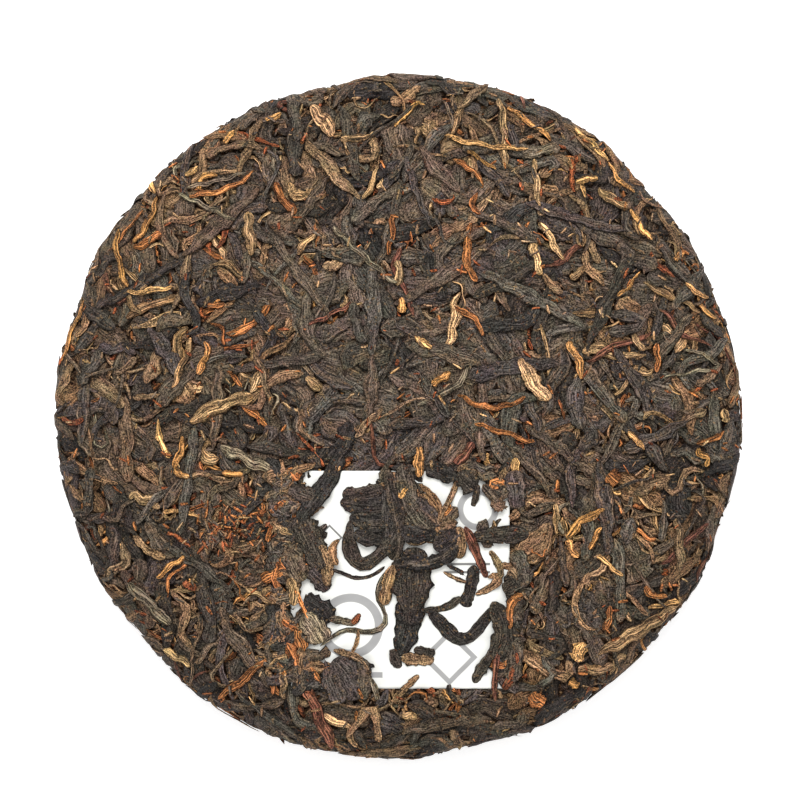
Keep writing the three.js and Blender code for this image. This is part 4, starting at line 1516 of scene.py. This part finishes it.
def ticket_material():
    """Near-white paper with plain grey shapes: rings, lozenges and bars."""
    paint = Paint("ticket_paper")
    place = paint.node("ShaderNodeTexCoord", "Object")
    spot = paint.node("ShaderNodeUVMap", 0, {"uv_map": "print"})
    x, y = (paint.node("ShaderNodeSeparateXYZ", axis, Vector=spot) for axis in (0, 1))
    pale = shapes_at(paint, x, y, PALE_SHAPES)
    fine = shapes_at(paint, x, y, FINE_SHAPES)
    stain = paint.ramp(paint.noise(place, 120.0, 3.0), 0.5, 0.75) * 0.25
    colour = paint.mix(stain, rgba(srgb(237, 237, 232)), rgba(srgb(224, 218, 203)))
    colour = paint.mix(pale * 0.85, colour, rgba(srgb(142, 141, 142)))
    colour = paint.mix(fine * 0.85, colour, rgba(srgb(78, 76, 75)))
    paint.set(Base_Color=colour, Roughness=0.85, Specular_IOR_Level=0.2)
    paint.bump(paint.noise(place, 2600.0), 0.5, 0.00006)
    return paint.material


def build_leaves(charts, piles, striped, matted):
    """One mesh for each kind of leaf, cut into several where it grows too big. All the back's
    dark leaves go into one mesh of their own."""
    rng = np.random.default_rng(SEED + 2)
    heaps = {}
    for pile in piles:
        for (colour, size), rows in sorted(pile.leaves.items()):
            name = "crumbs" if size == "crumb" else PIECE_OF[colour]
            if pile.side == "back" and name == "dark_leaves":
                name = "back_leaves"
            each = 2 * SIZES[size][0] * SIZES[size][1]
            for start in range(0, len(rows), BATCH):
                part = rows[start:start + BATCH]
                stack = heaps.setdefault(name, [Heap()])
                if stack[-1].triangles + each * len(part) > SPLIT_ABOVE:
                    stack.append(Heap())
                stack[-1].add(rng, charts[pile.side], colour, size, part)
    for name, stack in heaps.items():
        for number, heap in enumerate(stack):
            label = name if len(stack) == 1 else f"{name}_{number + 1}"
            heap.build(label, striped if name in STRIPED else matted)


def build_ticket(chart):
    """The paper, thickened downwards."""
    paper = ticket_material()
    piece = add_piece("ticket", ticket_mesh(chart), paper, "paper_ticket")
    sheet = piece.modifiers.new("paper", "SOLIDIFY")
    sheet.thickness = TICKET_THICKNESS * MM
    sheet.offset = -1


# The studio: the floor's size, grey and glow, the sky's strength, and the lamp
FLOOR_SIZE = 6.0
FLOOR_GREY = 0.92
FLOOR_GLOW = 0.45
SKY_STRENGTH = 0.85
LAMP_PLACE = (-0.1, 0.8, 1.0)
LAMP_SIZE = 0.7
LAMP_POWER = 14.0


def build_stage():
    """A white floor that is brighter than the picture can show."""
    bpy.ops.mesh.primitive_plane_add(size=FLOOR_SIZE, location=(0, 0, 0))
    floor = bpy.context.object
    floor.name = "floor"
    paint = Paint("floor")
    paint.set(Base_Color=rgba([FLOOR_GREY] * 3), Roughness=0.9, Specular_IOR_Level=0.0)
    paint.set(Emission_Color=(1.0, 1.0, 1.0, 1.0), Emission_Strength=FLOOR_GLOW)
    floor.data.materials.append(paint.material)


def add_looking(name, data, place, target):
    """An object at a place, its -Z turned to a target: by its tilt from straight down, then
    about Z."""
    thing = bpy.data.objects.new(name, data)
    bpy.context.scene.collection.objects.link(thing)
    thing.location = place
    x, y, z = (target[axis] - thing.location[axis] for axis in range(3))
    thing.rotation_euler = (math.atan2(math.hypot(x, y), -z), 0, math.atan2(-x, y))
    return thing


def light_scene():
    """An even white sky, and one soft square lamp."""
    world = bpy.data.worlds.new("studio")
    bpy.context.scene.world = world
    world.use_nodes = True
    background = world.node_tree.nodes["Background"]
    background.inputs["Color"].default_value = (1, 1, 1, 1)
    background.inputs["Strength"].default_value = SKY_STRENGTH
    lamp = bpy.data.lights.new("key", "AREA")
    lamp.size = LAMP_SIZE
    lamp.energy = LAMP_POWER
    add_looking("key", lamp, LAMP_PLACE, (0, 0, 0))


CAMERA_LENS = 85
CAMERA_SENSOR = 36
CAMERA_DISTANCE = 0.5466
CAMERA_ELEVATION = math.radians(88)
CAMERA_TARGET = (0.0007, 0.004, 0.012)


def add_camera():
    """A camera above the cake, tilted a little towards its lower edge."""
    data = bpy.data.cameras.new("camera")
    data.lens = CAMERA_LENS
    data.sensor_width = CAMERA_SENSOR
    x, y, z = CAMERA_TARGET
    y -= CAMERA_DISTANCE * math.cos(CAMERA_ELEVATION)
    z += CAMERA_DISTANCE * math.sin(CAMERA_ELEVATION)
    bpy.context.scene.camera = add_looking("camera", data, (x, y, z), CAMERA_TARGET)


charts = {"face": Chart(False), "back": Chart(True)}
striped_leaf = leaf_material("striped_leaf", 0.5)
matted_leaf = leaf_material("matted_leaf", 0.3)
build_leaves(charts, [lay_face(), lay_back()], striped_leaf, matted_leaf)
add_piece("core", core_mesh(charts["face"]), core_material(), "tea_cake")
build_ticket(charts["face"])
build_stage()
light_scene()
add_camera()
bpy.context.scene.view_settings.view_transform = "Standard"
